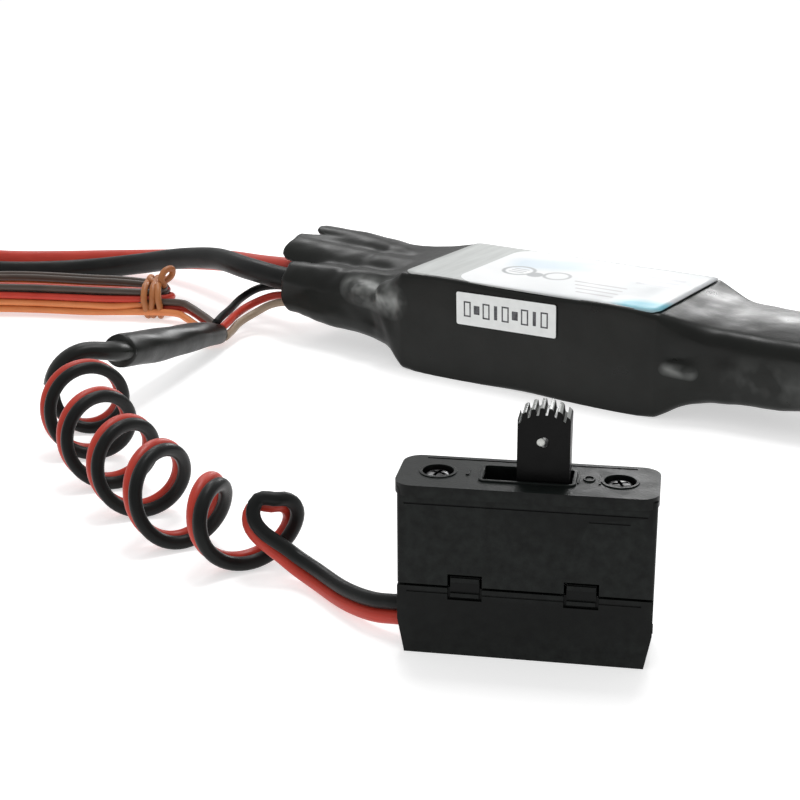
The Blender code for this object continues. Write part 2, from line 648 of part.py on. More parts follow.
def make_switch_inside(switch):
    frame_z = FRAME_TOP - FRAME[2] / 2
    frame = block("switch_frame", FRAME, (0.0, 0.0, frame_z), MATERIALS["steel"], switch)
    side_y = (FRAME[1] - FRAME[2]) / 2
    for side in (-1, 1):
        box_tool(frame, "frame_side", FRAME_SIDE, (0.0, side * side_y, FRAME_TOP - FRAME_SIDE[2] / 2),
                 "UNION", switch)
        round_tool(frame, "ear_hole", SCREW_HOLE, 4 * FRAME[2], (side * SCREW_X, 0.0, frame_z),
                   parent=switch)
    box_tool(frame, "frame_slot", (*SLOT, 4 * FRAME[2]), (0.0, 0.0, frame_z), parent=switch)
    base = block("switch_base", TERMINAL_BOARD, (0.0, 0.0, TERMINAL_BOARD_Z), MATERIALS["phenolic"], switch)
    for number, x in enumerate(TERMINALS, 1):
        box_tool(base, "terminal_slot", TERMINAL_HOLE, (x, 0.0, TERMINAL_BOARD_Z), parent=switch)
        block("switch_terminal_%d" % number, TERMINAL, (x, 0.0, TERMINAL_TOP - TERMINAL[2] / 2),
              MATERIALS["tinned"], switch)
    head = FLANGE_TOP - 0.0001
    rim = head - GAP
    under = head - 2 * GAP
    profile = [(0.0, head), (SCREW_HEAD - GAP, head), (SCREW_HEAD, rim), (SCREW_HEAD, under),
               (SCREW_SHANK, under), (SCREW_SHANK, SCREW_END), (0.0, SCREW_END)]
    for number, side in enumerate((-1, 1), 1):
        smooth(turned("flange_screw_%d" % number, profile, (side * SCREW_X, 0.0, 0.0),
                      MATERIALS["dark_steel"], 14, switch))


def lever_outline():
    """Front view of the lever: a straight stem under a crowned, ribbed top."""
    half = LEVER_WIDTH / 2
    radius = (half ** 2 + LEVER_CROWN ** 2) / (2 * LEVER_CROWN)
    centre = LEVER_SHOULDER + LEVER_CROWN - radius
    foot = SLIDER_BLOCK_Z + SLIDER_BLOCK[2] / 2
    outline = [(-half, foot), (half, foot)]
    pitch = LEVER_WIDTH / LEVER_RIBS
    for rib in range(LEVER_RIBS):
        start = half - rib * pitch
        for share, depth in ((0.0, 0.0), (0.6, 0.0), (0.8, RIB_DEPTH)):
            x = start - share * pitch
            outline.append((x, centre + math.sqrt(radius ** 2 - x ** 2) - depth))
    outline[-1] = (-half, LEVER_SHOULDER)
    return outline


def make_slider(switch):
    """The lever and the moving contact; the empty that holds them lies on the slide's axis."""
    slide = bpy.data.objects.new("slider_axis", None)
    PARTS.objects.link(slide)
    slide.parent = switch
    slide.location = (LEVER_REST, 0.0, SLIDER_BLOCK_Z)
    lever = as_mesh(plate("switch_lever", [lever_outline()], LEVER_DEPTH, None, slide))
    lever.data.materials.append(MATERIALS["switch_plastic"])
    lever.location = (0.0, 0.0, -SLIDER_BLOCK_Z)
    lever.rotation_euler = (math.pi / 2, 0.0, 0.0)
    box_tool(lever, "slider_block", SLIDER_BLOCK, (0.0, 0.0, SLIDER_BLOCK[2] / 2), "UNION", slide)
    round_tool(lever, "lever_hole", LEVER_HOLE, 3 * LEVER_DEPTH, (0.0, 0.0, LEVER_HOLE_Z - SLIDER_BLOCK_Z),
               "Y", slide)
    block("moving_contact", CONTACT, (0.0, 0.0, -GAP - CONTACT[2] / 2), MATERIALS["tinned"], slide)


# ---------------------------------------------------------------- build
clear_scene()
PARTS = collection("electronic_speed_controller")
CUTTERS = collection("cutters")
MATERIALS = {
    "heat_shrink": material("heat_shrink", (0.012, 0.013, 0.012), 0.38),
    "label": material("label", (0.62, 0.66, 0.67), 0.28),
    "sticker": material("sticker", (0.80, 0.82, 0.80), 0.45),
    "aluminium": material("aluminium", (0.60, 0.61, 0.62), 0.40, 1.0),
    "thermal_pad": material("thermal_pad", (0.40, 0.45, 0.50), 0.70),
    "circuit_board": material("circuit_board", (0.02, 0.11, 0.05), 0.50),
    "component": material("component", (0.015, 0.015, 0.015), 0.45),
    "capacitor": material("capacitor", (0.02, 0.03, 0.06), 0.35),
    "copper": material("copper", (0.72, 0.42, 0.28), 0.35, 1.0),
    "tinned": material("tinned", (0.70, 0.70, 0.68), 0.30, 1.0),
    "gold": material("gold", (0.80, 0.58, 0.25), 0.25, 1.0),
    "steel": material("steel", (0.52, 0.53, 0.54), 0.35, 1.0),
    "dark_steel": material("dark_steel", (0.05, 0.05, 0.05), 0.35, 1.0),
    "phenolic": material("phenolic", (0.20, 0.09, 0.04), 0.60),
    "black_wire": material("black_wire", (0.012, 0.012, 0.012), 0.35),
    "red_wire": material("red_wire", (0.55, 0.045, 0.03), 0.38),
    "tan_wire": material("tan_wire", (0.30, 0.22, 0.15), 0.45),
    "orange_wire": material("orange_wire", (0.55, 0.16, 0.05), 0.42),
    "tie": material("tie", (0.03, 0.025, 0.02), 0.50),
    "plug_plastic": material("plug_plastic", (0.02, 0.02, 0.02), 0.40),
    "switch_plastic": material("switch_plastic", (0.010, 0.011, 0.011), 0.50),
}
make_sleeve()
make_labels()
make_boards()
make_components()
make_solder_tabs()
make_battery_leads()
make_junction()
make_receiver_lead()
switch_place = bpy.data.objects.new("switch_place", None)
PARTS.objects.link(switch_place)
switch_place.location = SWITCH_CENTRE
switch_place.rotation_euler = (0.0, 0.0, SWITCH_YAW)
make_switch_lead()
make_upper_housing(switch_place)
make_lower_cover(switch_place)
make_switch_inside(switch_place)
make_slider(switch_place)
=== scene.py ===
"""Looks for the electronic speed controller: camera, cords, sleeve, labels, switch box and materials.

Lengths are written in millimetres and turned into metres where a mesh is made.
"""
import json
import math

import bmesh
import bpy
import numpy as np
from mathutils import Matrix, Vector, noise

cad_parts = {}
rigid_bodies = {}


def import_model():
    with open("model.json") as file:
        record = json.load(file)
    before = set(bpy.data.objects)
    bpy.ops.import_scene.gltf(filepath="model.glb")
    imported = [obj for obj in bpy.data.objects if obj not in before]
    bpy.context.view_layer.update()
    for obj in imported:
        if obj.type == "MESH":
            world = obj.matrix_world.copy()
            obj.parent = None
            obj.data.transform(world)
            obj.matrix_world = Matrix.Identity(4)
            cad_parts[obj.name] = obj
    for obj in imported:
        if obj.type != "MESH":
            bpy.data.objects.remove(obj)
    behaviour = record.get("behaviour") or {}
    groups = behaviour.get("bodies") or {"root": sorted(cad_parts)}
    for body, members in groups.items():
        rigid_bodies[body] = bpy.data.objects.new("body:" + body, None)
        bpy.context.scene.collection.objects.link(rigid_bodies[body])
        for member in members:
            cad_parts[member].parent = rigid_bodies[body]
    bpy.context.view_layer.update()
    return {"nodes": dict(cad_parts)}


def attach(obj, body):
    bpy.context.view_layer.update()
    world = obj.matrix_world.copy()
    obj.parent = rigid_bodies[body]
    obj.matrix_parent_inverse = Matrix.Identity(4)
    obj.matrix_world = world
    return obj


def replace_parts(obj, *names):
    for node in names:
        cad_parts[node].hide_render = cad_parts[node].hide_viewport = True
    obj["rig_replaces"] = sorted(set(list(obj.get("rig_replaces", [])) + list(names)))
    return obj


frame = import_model()
MM = 0.001


# ---------------------------------------------------------------- camera
def make_camera(azimuth=33.7, pitch=19.1, roll=-0.32):
    """A camera at the photograph's angle.  Angles are in degrees, and it looks down by the pitch."""
    data = bpy.data.cameras.new("camera")
    data.lens = 71.73
    data.sensor_width = 36.0
    data.clip_start = 0.01
    camera = bpy.data.objects.new("camera", data)
    bpy.context.scene.collection.objects.link(camera)
    camera.location = (0.12775, -0.2426, 0.0894)
    look = Matrix.Identity(3)
    for angle, axis in ((azimuth, "Z"), (90.0 - pitch, "X"), (roll, "Z")):
        look = look @ Matrix.Rotation(math.radians(angle), 3, axis)
    camera.rotation_euler = look.to_euler()
    bpy.context.scene.camera = camera


# ---------------------------------------------------------------- materials
class Surface:
    """A Principled material with short calls for its procedural detail."""

    def __init__(self, name, roughness, metallic=0.0, specular=0.5, sheen=0.0):
        self.material = bpy.data.materials.new(name)
        self.material.use_nodes = True
        self.tree = self.material.node_tree
        self.shader = self.tree.nodes["Principled BSDF"]
        self.normal = None
        for socket, value in (("Roughness", roughness), ("Metallic", metallic), ("Sheen Weight", sheen),
                              ("Specular IOR Level", specular), ("IOR", 1.5)):
            self.set(socket, value)

    def feed(self, socket, value):
        """Link another node's output to a socket, or set its plain value."""
        if isinstance(value, bpy.types.NodeSocket):
            self.tree.links.new(value, socket)
        else:
            socket.default_value = (*value, 1.0) if socket.type == "RGBA" else value

    def set(self, socket, value):
        self.feed(self.shader.inputs[socket], value)

    def node(self, kind, sockets=None, **values):
        made = self.tree.nodes.new(kind)
        for key, value in values.items():
            setattr(made, key, value)
        for key, value in (sockets or {}).items():
            self.feed(made.inputs[key], value)
        return made

    def place(self, stretch=(1.0, 1.0, 1.0), coords="Object", turn=0.0):
        where = self.node("ShaderNodeTexCoord").outputs[coords]
        sockets = {"Vector": where, "Scale": stretch, "Rotation": (0.0, 0.0, turn)}
        return self.node("ShaderNodeMapping", sockets).outputs["Vector"]

    def axes(self):
        """The object's own X, Y and Z, in metres."""
        return self.node("ShaderNodeSeparateXYZ", {"Vector": self.place()}).outputs

    def noise(self, scale, detail=3.0, where=None, rough=0.5):
        sockets = {"Vector": where or self.place(), "Scale": scale, "Detail": detail, "Roughness": rough}
        return self.node("ShaderNodeTexNoise", sockets).outputs["Fac"]

    def ramp(self, factor, low, high, ends=(0.34, 0.70)):
        made = self.node("ShaderNodeValToRGB", {"Fac": factor})
        for element, position, colour in zip(made.color_ramp.elements, ends, (low, high)):
            element.position = position
            element.color = (*colour, 1.0)
        return made.outputs["Color"]

    def mix(self, factor, first, second):
        return self.node("ShaderNodeMix", {"Factor": factor, 6: first, 7: second}, data_type="RGBA").outputs[2]

    def math(self, operation, first, second=0.0):
        return self.node("ShaderNodeMath", {0: first, 1: second}, operation=operation).outputs[0]

    def times(self, first, second):
        return self.math("MULTIPLY", first, second)

    def span(self, factor, low, high, start=0.3, end=0.7):
        sockets = {"Value": factor, "From Min": start, "From Max": end, "To Min": low, "To Max": high}
        return self.node("ShaderNodeMapRange", sockets).outputs["Result"]

    def bump(self, height, distance, strength):
        sockets = {"Height": height, "Distance": distance, "Strength": strength}
        if self.normal is not None:
            sockets["Normal"] = self.normal
        self.normal = self.node("ShaderNodeBump", sockets).outputs["Normal"]
        self.set("Normal", self.normal)

    def mask(self, where, centre, half, radius, soft=0.04, turn=0.0):
        """1 inside a rounded rectangle of two coordinates and 0 outside it.  Sizes are in mm."""
        x, y = (self.math("SUBTRACT", self.times(part, 1000.0), middle) for part, middle in zip(where, centre))
        c, s = math.cos(turn), math.sin(turn)
        turned = (self.math("ADD", self.times(x, c), self.times(y, s)),
                  self.math("SUBTRACT", self.times(y, c), self.times(x, s)))
        over = [self.math("MAXIMUM", self.math("SUBTRACT", self.math("ABSOLUTE", value), reach - radius), 0.0)
                for value, reach in zip(turned, half)]
        gap = self.math("SQRT", self.math("ADD", *(self.times(value, value) for value in over)))
        return self.span(gap, 1.0, 0.0, radius - soft, radius + soft)


def wire_jacket(name, colour, tint, roughness, specular=0.5):
    """An extruded jacket: long faint streaks, a fine grain and a little handling dust."""
    made = Surface(name, roughness, specular=specular, sheen=0.03)
    streaks = made.noise(4.0, 4.0, made.place((60.0, 9.0, 1.0), "UV"))
    patches = made.noise(260.0, 4.0)
    both = made.times(made.math("ADD", streaks, patches), 0.5)
    made.set("Base Color", made.ramp(both, colour, tint, (0.35, 0.66)))
    made.set("Roughness", made.span(patches, roughness - 0.07, roughness + 0.10))
    made.bump(made.noise(5200.0, 2.0), 0.00002, 0.5)
    made.bump(streaks, 0.00004, 0.35)
    return made.material


def moulded(name, colour, tint, roughness, specular=0.5, grain=4200.0, depth=0.00003, edge=None):
    """Moulded plastic with a spark-eroded grain, and sharp edges that are made a little lighter in broken
    patches.
    """
    made = Surface(name, roughness, specular=specular)
    base = made.ramp(made.noise(170.0, 5.0), colour, tint, (0.34, 0.68))
    if edge is not None:
        point = made.node("ShaderNodeNewGeometry").outputs["Pointiness"]
        lighter_edges = made.times(made.span(point, 0.0, 1.0, 0.52, 0.60), made.span(made.noise(900.0), 0.15, 1.0))
        base = made.mix(lighter_edges, base, edge)
    made.set("Base Color", base)
    made.set("Roughness", made.span(made.noise(420.0, 4.0), roughness - 0.06, roughness + 0.08))
    made.bump(made.noise(grain, 2.0, rough=0.6), depth, 0.6)
    return made.material


def metal(name, colour, tint, roughness, stretch=(30.0, 900.0, 900.0)):
    """Metal with brushing along one direction and slight tarnish."""
    made = Surface(name, roughness, metallic=1.0)
    lines = made.noise(6.0, 3.0, made.place(stretch))
    made.set("Base Color", made.ramp(made.noise(350.0, 4.0), colour, tint, (0.36, 0.70)))
    made.set("Roughness", made.span(lines, roughness - 0.08, roughness + 0.12))
    made.bump(lines, 0.00002, 0.4)
    return made.material


def heat_shrink(name, painted_highlights=(), roughness=0.34):
    """Shrunk polyolefin: satin black with a faint orange-peel, soft waves and dusty patches.

    Each place (x, z, half length, half height, slope, strength) on the front is painted a lighter grey: painted
    highlights that stand in for the glare on the film.
    """
    made = Surface(name, roughness, specular=0.22)
    base = made.ramp(made.noise(95.0, 5.0), (0.0048, 0.0054, 0.0046), (0.0085, 0.0095, 0.0080))
    x, y, z = made.axes()
    front = made.span(y, 1.0, 0.0, -0.0095, -0.0075)
    # painted highlights: each place is mixed toward light grey on the front face, broken up by noise
    for along, height, long, high, slope, strength in painted_highlights:
        place = made.times(made.mask((x, z), (along, height), (long, high), high, 0.9 * high, slope), front)
        broken_highlight = made.span(made.noise(240.0, 2.0), 0.15 * strength, strength, 0.38, 0.60)
        base = made.mix(made.times(place, broken_highlight), base, (0.30, 0.31, 0.30))
    made.set("Base Color", base)
    made.set("Roughness", made.span(made.noise(210.0, 4.0), roughness - 0.07, roughness + 0.11))
    made.bump(made.noise(330.0), 0.00016, 0.35)
    made.bump(made.noise(2600.0, 2.0), 0.00002, 0.4)
    return made.material


def circuit_board(name):
    """Solder mask over faint copper tracks that run in both directions."""
    made = Surface(name, 0.42)
    tracks = made.node("ShaderNodeTexBrick", {
        "Vector": made.place(turn=0.4), "Scale": 260.0, "Mortar Size": 0.06, "Color1": (0.008, 0.085, 0.035),
        "Color2": (0.010, 0.110, 0.045), "Mortar": (0.030, 0.190, 0.080)})
    made.set("Base Color", tracks.outputs["Color"])
    made.bump(tracks.outputs["Fac"], 0.00003, 0.5)
    made.set("Roughness", made.span(made.noise(500.0), 0.34, 0.52))
    return made.material


# the frame may hold a material of the same name, which adds a number to the new one
MATERIALS = {material.name.split(".")[0]: material for material in (
    heat_shrink("heat_shrink"),
    # the sleeve's places are painted highlights: the glare on the battery-end shoulder, a small streak on the
    # motor-end shoulder and a faint reflection on the motor neck's front
    heat_shrink("sleeve", [(-32.0, 12.9, 7.0, 2.0, -0.12, 0.85), (28.6, 8.7, 2.6, 0.7, -0.15, 0.55),
                           (44.0, 8.6, 7.0, 2.4, 0.0, 0.16)]),
    wire_jacket("black_wire", (0.0055, 0.0060, 0.0060), (0.0100, 0.0110, 0.0105), 0.36, 0.14),
    wire_jacket("red_wire", (0.42, 0.030, 0.016), (0.52, 0.046, 0.026), 0.38, 0.30),
    wire_jacket("tan_wire", (0.26, 0.19, 0.13), (0.36, 0.27, 0.19), 0.46),
    wire_jacket("brown_wire", (0.034, 0.022, 0.016), (0.066, 0.042, 0.029), 0.44),
    wire_jacket("orange_wire", (0.60, 0.17, 0.045), (0.70, 0.24, 0.075), 0.44),
    moulded("switch_plastic", (0.0034, 0.0038, 0.0036), (0.0044, 0.0048, 0.0046), 0.40, 0.12, 4200.0, 0.00002,
            (0.012, 0.014, 0.013)),
    moulded("lever_plastic", (0.0026, 0.0026, 0.0027), (0.0036, 0.0036, 0.0036), 0.34, 0.10, 4200.0, 0.00002,
            (0.008, 0.008, 0.008)),
    # light grey for the lever's up-facing rib tops: painted highlights standing in for the glints on the ribs
    moulded("lever_crown_painted_highlight", (0.10, 0.105, 0.10), (0.24, 0.25, 0.24), 0.30, 0.5, 4200.0, 0.00002),
    # lighter, greener colour for the flange's up-facing faces and marks: a painted highlight of the light on the
    # flange top
    moulded("flange_top_painted_highlight", (0.0060, 0.0078, 0.0070), (0.0100, 0.0125, 0.0115), 0.36, 0.10, 3000.0),
    # white for the dome in the lever's hole: a painted highlight standing in for a glint
    moulded("white_painted_glint", (0.62, 0.63, 0.60), (0.74, 0.75, 0.72), 0.30),
    moulded("plug_plastic", (0.012, 0.012, 0.012), (0.020, 0.020, 0.020), 0.40),
    moulded("component", (0.012, 0.012, 0.013), (0.022, 0.022, 0.022), 0.46),
    moulded("tie", (0.34, 0.115, 0.036), (0.48, 0.19, 0.065), 0.42, 0.4),
    moulded("phenolic", (0.16, 0.070, 0.028), (0.22, 0.10, 0.045), 0.58, grain=1500.0),
    moulded("thermal_pad", (0.34, 0.39, 0.44), (0.42, 0.47, 0.52), 0.75, grain=900.0),
    moulded("capacitor", (0.012, 0.018, 0.045), (0.020, 0.028, 0.060), 0.30),
    circuit_board("circuit_board"),
    metal("aluminium", (0.58, 0.59, 0.60), (0.68, 0.69, 0.70), 0.38),
    metal("copper", (0.66, 0.36, 0.22), (0.72, 0.55, 0.42), 0.34),
    metal("gold", (0.78, 0.54, 0.20), (0.86, 0.64, 0.30), 0.24, (900.0, 60.0, 60.0)),
    metal("steel", (0.46, 0.47, 0.48), (0.58, 0.59, 0.60), 0.34),
    metal("tinned", (0.64, 0.64, 0.62), (0.76, 0.76, 0.74), 0.30),
    metal("dark_steel", (0.035, 0.035, 0.036), (0.085, 0.085, 0.085), 0.30),
)}


# ---------------------------------------------------------------- mesh helpers
def mesh_object(name, shape, material, smooth=True):
    """An object from a shape: points in millimetres, and faces."""
    verts, faces = shape
    mesh = bpy.data.meshes.new(name)
    mesh.from_pydata([[c * MM for c in v] for v in verts], [], faces)
    mesh.update()
    obj = bpy.data.objects.new(name, mesh)
    bpy.context.scene.collection.objects.link(obj)
    mesh.materials.append(MATERIALS[material] if isinstance(material, str) else material)
    if smooth:
        mesh.shade_smooth()
    return obj


def keep(obj, slot, *nodes, body="root"):
    """Tell the frame which body a piece rides on and which nodes it replaces; the slot is not used."""
    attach(obj, body)
    if nodes:
        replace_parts(obj, *nodes)
    return obj


def skin(rings, caps=(0, -1), closed=False):
    """The shape of a skin over rings of equally many points, with caps on its first and last ring."""
    rows, n = len(rings), len(rings[0])
    faces = [(i * n + k, i * n + (k + 1) % n, (i + 1) % rows * n + (k + 1) % n, (i + 1) % rows * n + k)
             for i in range(rows if closed else rows - 1) for k in range(n)]
    if 0 in caps:
        faces.append(tuple(range(n))[::-1])
    if -1 in caps:
        faces.append(tuple(range((rows - 1) * n, rows * n)))
    return [tuple(float(c) for c in point) for ring in rings for point in ring], faces


def prism(outline, low, high):
    return skin([[(x, y, z) for x, y in outline] for z in (low, high)])


def slab(outline, low, high):
    """The shape of an (x, z) outline that is drawn out along Y."""
    return skin([[(x, y, z) for x, z in outline] for y in (low, high)])


def placed(centre, turn, x, y):
    """A point (x, y) of a frame that is turned about Z and moved to a centre."""
    c, s = math.cos(turn), math.sin(turn)
    return centre[0] + c * x - s * y, centre[1] + s * x + c * y


def rectangle(width, height, x=0.0, y=0.0):
    return [(x + a * width, y + b * height) for a, b in ((-0.5, -0.5), (0.5, -0.5), (0.5, 0.5), (-0.5, 0.5))]


def box(size, centre, turn=0.0):
    outline = [placed(centre, turn, x, y) for x, y in rectangle(size[0], size[1])]
    return prism(outline, centre[2] - 0.5 * size[2], centre[2] + 0.5 * size[2])


def circle(radius, count, x=0.0, y=0.0):
    turns = [2 * math.pi * k / count for k in range(count)]
    return [(x + radius * math.cos(a), y + radius * math.sin(a)) for a in turns]


def rounded_outline(length, width, radius, steps=6):
    outline = []
    for quarter, (sx, sy) in enumerate([(1, 1), (-1, 1), (-1, -1), (1, -1)]):
        for step in range(steps + 1):
            angle = math.pi / 2 * (quarter + step / steps)
            outline.append((sx * (length / 2 - radius) + radius * math.cos(angle),
                            sy * (width / 2 - radius) + radius * math.sin(angle)))
    return outline


def spline(points, fine=16):
    """The smooth curve (centripetal Catmull-Rom) through some points."""
    p = np.array(points, float)
    p = np.vstack([2 * p[0] - p[1], p, 2 * p[-1] - p[-2]])
    line = []
    for p0, p1, p2, p3 in zip(p, p[1:], p[2:], p[3:]):
        t1 = np.linalg.norm(p1 - p0) ** 0.5
        t2 = t1 + np.linalg.norm(p2 - p1) ** 0.5
        t3 = t2 + np.linalg.norm(p3 - p2) ** 0.5
        t = (t1 + (t2 - t1) * np.arange(fine) / fine)[:, None]
        a1 = p0 + (p1 - p0) * t / t1
        a2 = p1 + (p2 - p1) * (t - t1) / (t2 - t1)
        a3 = p2 + (p3 - p2) * (t - t2) / (t3 - t2)
        b1 = a1 + (a2 - a1) * t / t2
        b2 = a2 + (a3 - a2) * (t - t1) / (t3 - t1)
        line.append(b1 + (b2 - b1) * (t - t1) / (t2 - t1))
    return np.vstack([*line, p[-2]])


def distances(line):
    return np.concatenate([[0.0], np.cumsum(np.linalg.norm(np.diff(line, axis=0), axis=1))])


def resample(line, step):
    at = distances(line)
    want = np.linspace(0.0, at[-1], max(2, int(round(at[-1] / step))) + 1)
    return np.stack([np.interp(want, at, line[:, k]) for k in range(3)], axis=1)


def unit(rows):
    return rows / np.linalg.norm(rows, axis=-1, keepdims=True)


def sweep(name, line, section, material):
    """A skin of sections along a line.  section(share of the way) is a list of (side, up) offsets in mm.

    The frame is carried along the line without twisting, and both ends are closed.
    """
    t = unit(np.gradient(line, axis=0))
    side = np.cross(t[0], (0.0, 0.0, 1.0))
    if np.linalg.norm(side) < 0.1:
        side = np.cross(t[0], (0.0, 1.0, 0.0))
    rings = []
    for i, point in enumerate(line):
        side = unit(side - t[i] * side.dot(t[i]))
        up = np.cross(side, t[i])
        rings.append([point + side * a + up * b for a, b in section(i / (len(line) - 1))])
    obj = mesh_object(name, skin(rings), material)
    uv = obj.data.uv_layers.new(name="UVMap")
    at = distances(line) * MM
    count = len(rings[0])
    for loop in obj.data.loops:
        row, column = divmod(loop.vertex_index, count)
        uv.data[loop.index].uv = (at[row], column / count)
    return obj


def tube(name, line, diameter, material, count):
    ring = circle(diameter / 2, count)
    return sweep(name, line, lambda share: ring, material)


def lathe(name, profile, y, z, material, closed=False, count=28):
    """Turn a profile of (x, radius) about a line along X."""
    rings = [[(x, a, b) for a, b in circle(r, count, y, z)] for x, r in profile]
    return recalculate(mesh_object(name, skin(rings, (), closed), material), True)


def joined(name, shapes, material, smooth=False):
    """One object from several shapes."""
    verts, faces = [], []
    for more, sides in shapes:
        faces += [tuple(len(verts) + k for k in side) for side in sides]
        verts += more
    return mesh_object(name, (verts, faces), material, smooth)


def recalculate(obj, merge=False):
    """Turn all faces outwards, after points that lie on each other are merged if that is asked for."""
    shape = bmesh.new()
    shape.from_mesh(obj.data)
    if merge:
        bmesh.ops.remove_doubles(shape, verts=shape.verts, dist=0.002 * MM)
        bmesh.ops.dissolve_degenerate(shape, edges=shape.edges, dist=0.001 * MM)
    bmesh.ops.recalc_face_normals(shape, faces=shape.faces)
    shape.to_mesh(obj.data)
    shape.free()
    return obj


def bevel(obj, width, segments=2):
    change = obj.modifiers.new("edges", "BEVEL")
    change.width = width * MM
    change.segments = segments
    change.limit_method = "ANGLE"
    change.angle_limit = math.radians(35.0)
    change.harden_normals = True
    return obj


def bake(obj):
    """Turn an object's modifiers into its mesh."""
    bpy.context.view_layer.update()
    ready = obj.evaluated_get(bpy.context.evaluated_depsgraph_get())
    mesh = bpy.data.meshes.new_from_object(ready)
    mesh.name = obj.name
    obj.modifiers.clear()
    obj.data = mesh
    return obj


def cut(obj, shapes, operation="DIFFERENCE"):
    """Apply one boolean for each shape, so that no cutter is left in the scene."""
    for shape in shapes:
        tool = recalculate(mesh_object("tool", shape, "component", False))
        change = obj.modifiers.new("cut", "BOOLEAN")
        change.operation = operation
        change.solver = "EXACT"
        change.object = tool
        bake(obj)
        bpy.data.objects.remove(tool)
    return obj


# ---------------------------------------------------------------- cords
BATTERY_ROUTES = {
    "black": [(-29.1, -6.6, 10.8), (-42.0, -6.8, 11.0), (-54.5, -6.9, 11.0), (-66.0, -5.0, 11.2),
              (-78.0, -0.5, 10.7), (-91.0, 3.0, 8.3), (-104.0, 4.6, 5.1), (-115.0, 2.5, 3.0),
              (-124.0, -3.5, 2.4), (-134.0, -9.2, 2.3), (-146.0, -12.5, 2.4), (-159.0, -13.3, 2.9),
              (-169.0, -13.5, 3.4), (-175.0, -13.5, 3.5)],
    "red": [(-29.1, -0.1, 11.0), (-42.0, -0.3, 11.3), (-54.5, -0.4, 11.3), (-68.0, 2.0, 10.0),
            (-81.0, 7.0, 8.2), (-94.0, 11.2, 6.0), (-106.0, 12.5, 4.1), (-118.0, 9.5, 3.0),
            (-129.0, 4.5, 2.4), (-139.0, -1.0, 2.3), (-150.0, -4.5, 2.4), (-161.0, -6.1, 2.9),
            (-169.0, -6.5, 3.4), (-175.0, -6.5, 3.5)],
}

HARNESS_ROUTES = {
    "tan": [(-24.5, -8.8, 7.5), (-34.0, -8.8, 7.0), (-44.0, -8.4, 6.8), (-54.5, -7.8, 6.8), (-58.8, -8.0, 5.7),
            (-61.2, -10.3, 4.1), (-61.5, -14.5, 3.2), (-60.7, -17.8, 2.5), (-59.9, -20.7, 2.2)],
    "red": [(-24.5, -7.1, 8.0), (-34.0, -7.1, 8.0), (-44.0, -7.0, 7.9), (-54.5, -6.2, 7.7), (-60.0, -6.0, 6.8),
            (-63.2, -8.9, 5.2), (-63.1, -13.6, 4.3), (-61.8, -17.2, 4.1), (-60.8, -20.5, 3.8)],
    "black": [(-24.5, -5.4, 8.0), (-34.0, -5.4, 7.9), (-44.0, -5.2, 7.7), (-54.5, -4.2, 7.6), (-61.0, -1.6, 7.7),
              (-65.4, -3.0, 7.0), (-66.4, -7.2, 5.9), (-65.2, -12.6, 4.9), (-63.6, -17.0, 4.8),
              (-62.3, -20.4, 4.5)],
}

JUNCTION_WIRES_END = (-61.4, -21.2, 2.7)
JUNCTION_COIL_END = (-51.2, -58.3, 10.8)

# Curly twin lead: turn, centre x and y, radius of the line between the wires, yaw of the coil's axis
TWIN_WIRE = 1.9
COIL = [
    (0.0, -52.5, -64.1, 5.60, -44.3), (0.5, -49.5, -68.1, 5.78, -40.6), (1.0, -45.9, -72.1, 5.88, -36.7),
    (1.5, -40.9, -76.4, 5.86, -32.2), (2.0, -35.3, -80.6, 5.69, -28.0), (2.5, -29.8, -83.7, 5.55, -25.3),
    (3.0, -24.3, -86.4, 5.44, -23.0), (3.5, -18.9, -89.1, 5.50, -20.3), (4.0, -13.3, -91.7, 5.43, -16.0),
    (4.5, -7.1, -94.4, 5.21, -8.3), (5.0, -0.3, -95.7, 4.96, -5.6), (5.5, 4.6, -94.7, 4.64, -19.1),
    (6.0, 8.3, -92.8, 4.20, -38.4),
]
COIL_LEAD_IN = [(-53.2, -51.0, 9.2), JUNCTION_COIL_END, (-50.6, -61.0, 11.6)]
COIL_TAIL = [(6.6, -94.1, 9.5), (6.3, -95.2, 8.6), (7.0, -96.0, 7.3), (8.1, -95.9, 6.0),
             (9.6, -95.5, 4.9), (11.3, -95.0, 3.8), (13.1, -94.8, 2.8), (16.9, -95.6, 2.1),
             (23.6, -98.4, 2.2), (28.7, -99.8, 2.8), (31.8, -99.9, 3.4)]
SWITCH_CENTRE = (45.8, -93.3)
SWITCH_YAW = math.radians(23.7)
TAIL_INSIDE = {
    "red": [(-12.5, -0.4, 2.5), (-8.0, -0.4, 2.8), (-4.0, -0.4, 4.0), (-1.3, -0.4, 6.8)],
    "black": [(-12.5, -0.4, 4.6), (-9.5, -0.4, 5.1), (-6.0, -0.4, 7.2)],
}


def smooth_step(x):
    x = np.clip(x, 0.0, 1.0)
    return x * x * (3 - 2 * x)


def in_switch(point):
    """A point of the switch box's own frame in the row frame, in mm."""
    return (*placed(SWITCH_CENTRE, SWITCH_YAW, point[0], point[1]), point[2])


def table_at(table, turns):
    """Smooth values (cubic Hermite) of a table's columns at some values of its first one."""
    table = np.array(table, float)
    keys = table[:, 0]
    i = np.clip(np.searchsorted(keys, turns, side="right") - 1, 0, len(keys) - 2)
    h = keys[i + 1] - keys[i]
    s = (turns - keys[i]) / h
    columns = []
    for column in table[:, 1:].T:
        slope = np.gradient(column, keys)
        columns.append((2 * s ** 3 - 3 * s ** 2 + 1) * column[i] + (s ** 3 - 2 * s ** 2 + s) * h * slope[i]
                       + (3 * s ** 2 - 2 * s ** 3) * column[i + 1] + (s ** 3 - s ** 2) * h * slope[i + 1])
    return columns


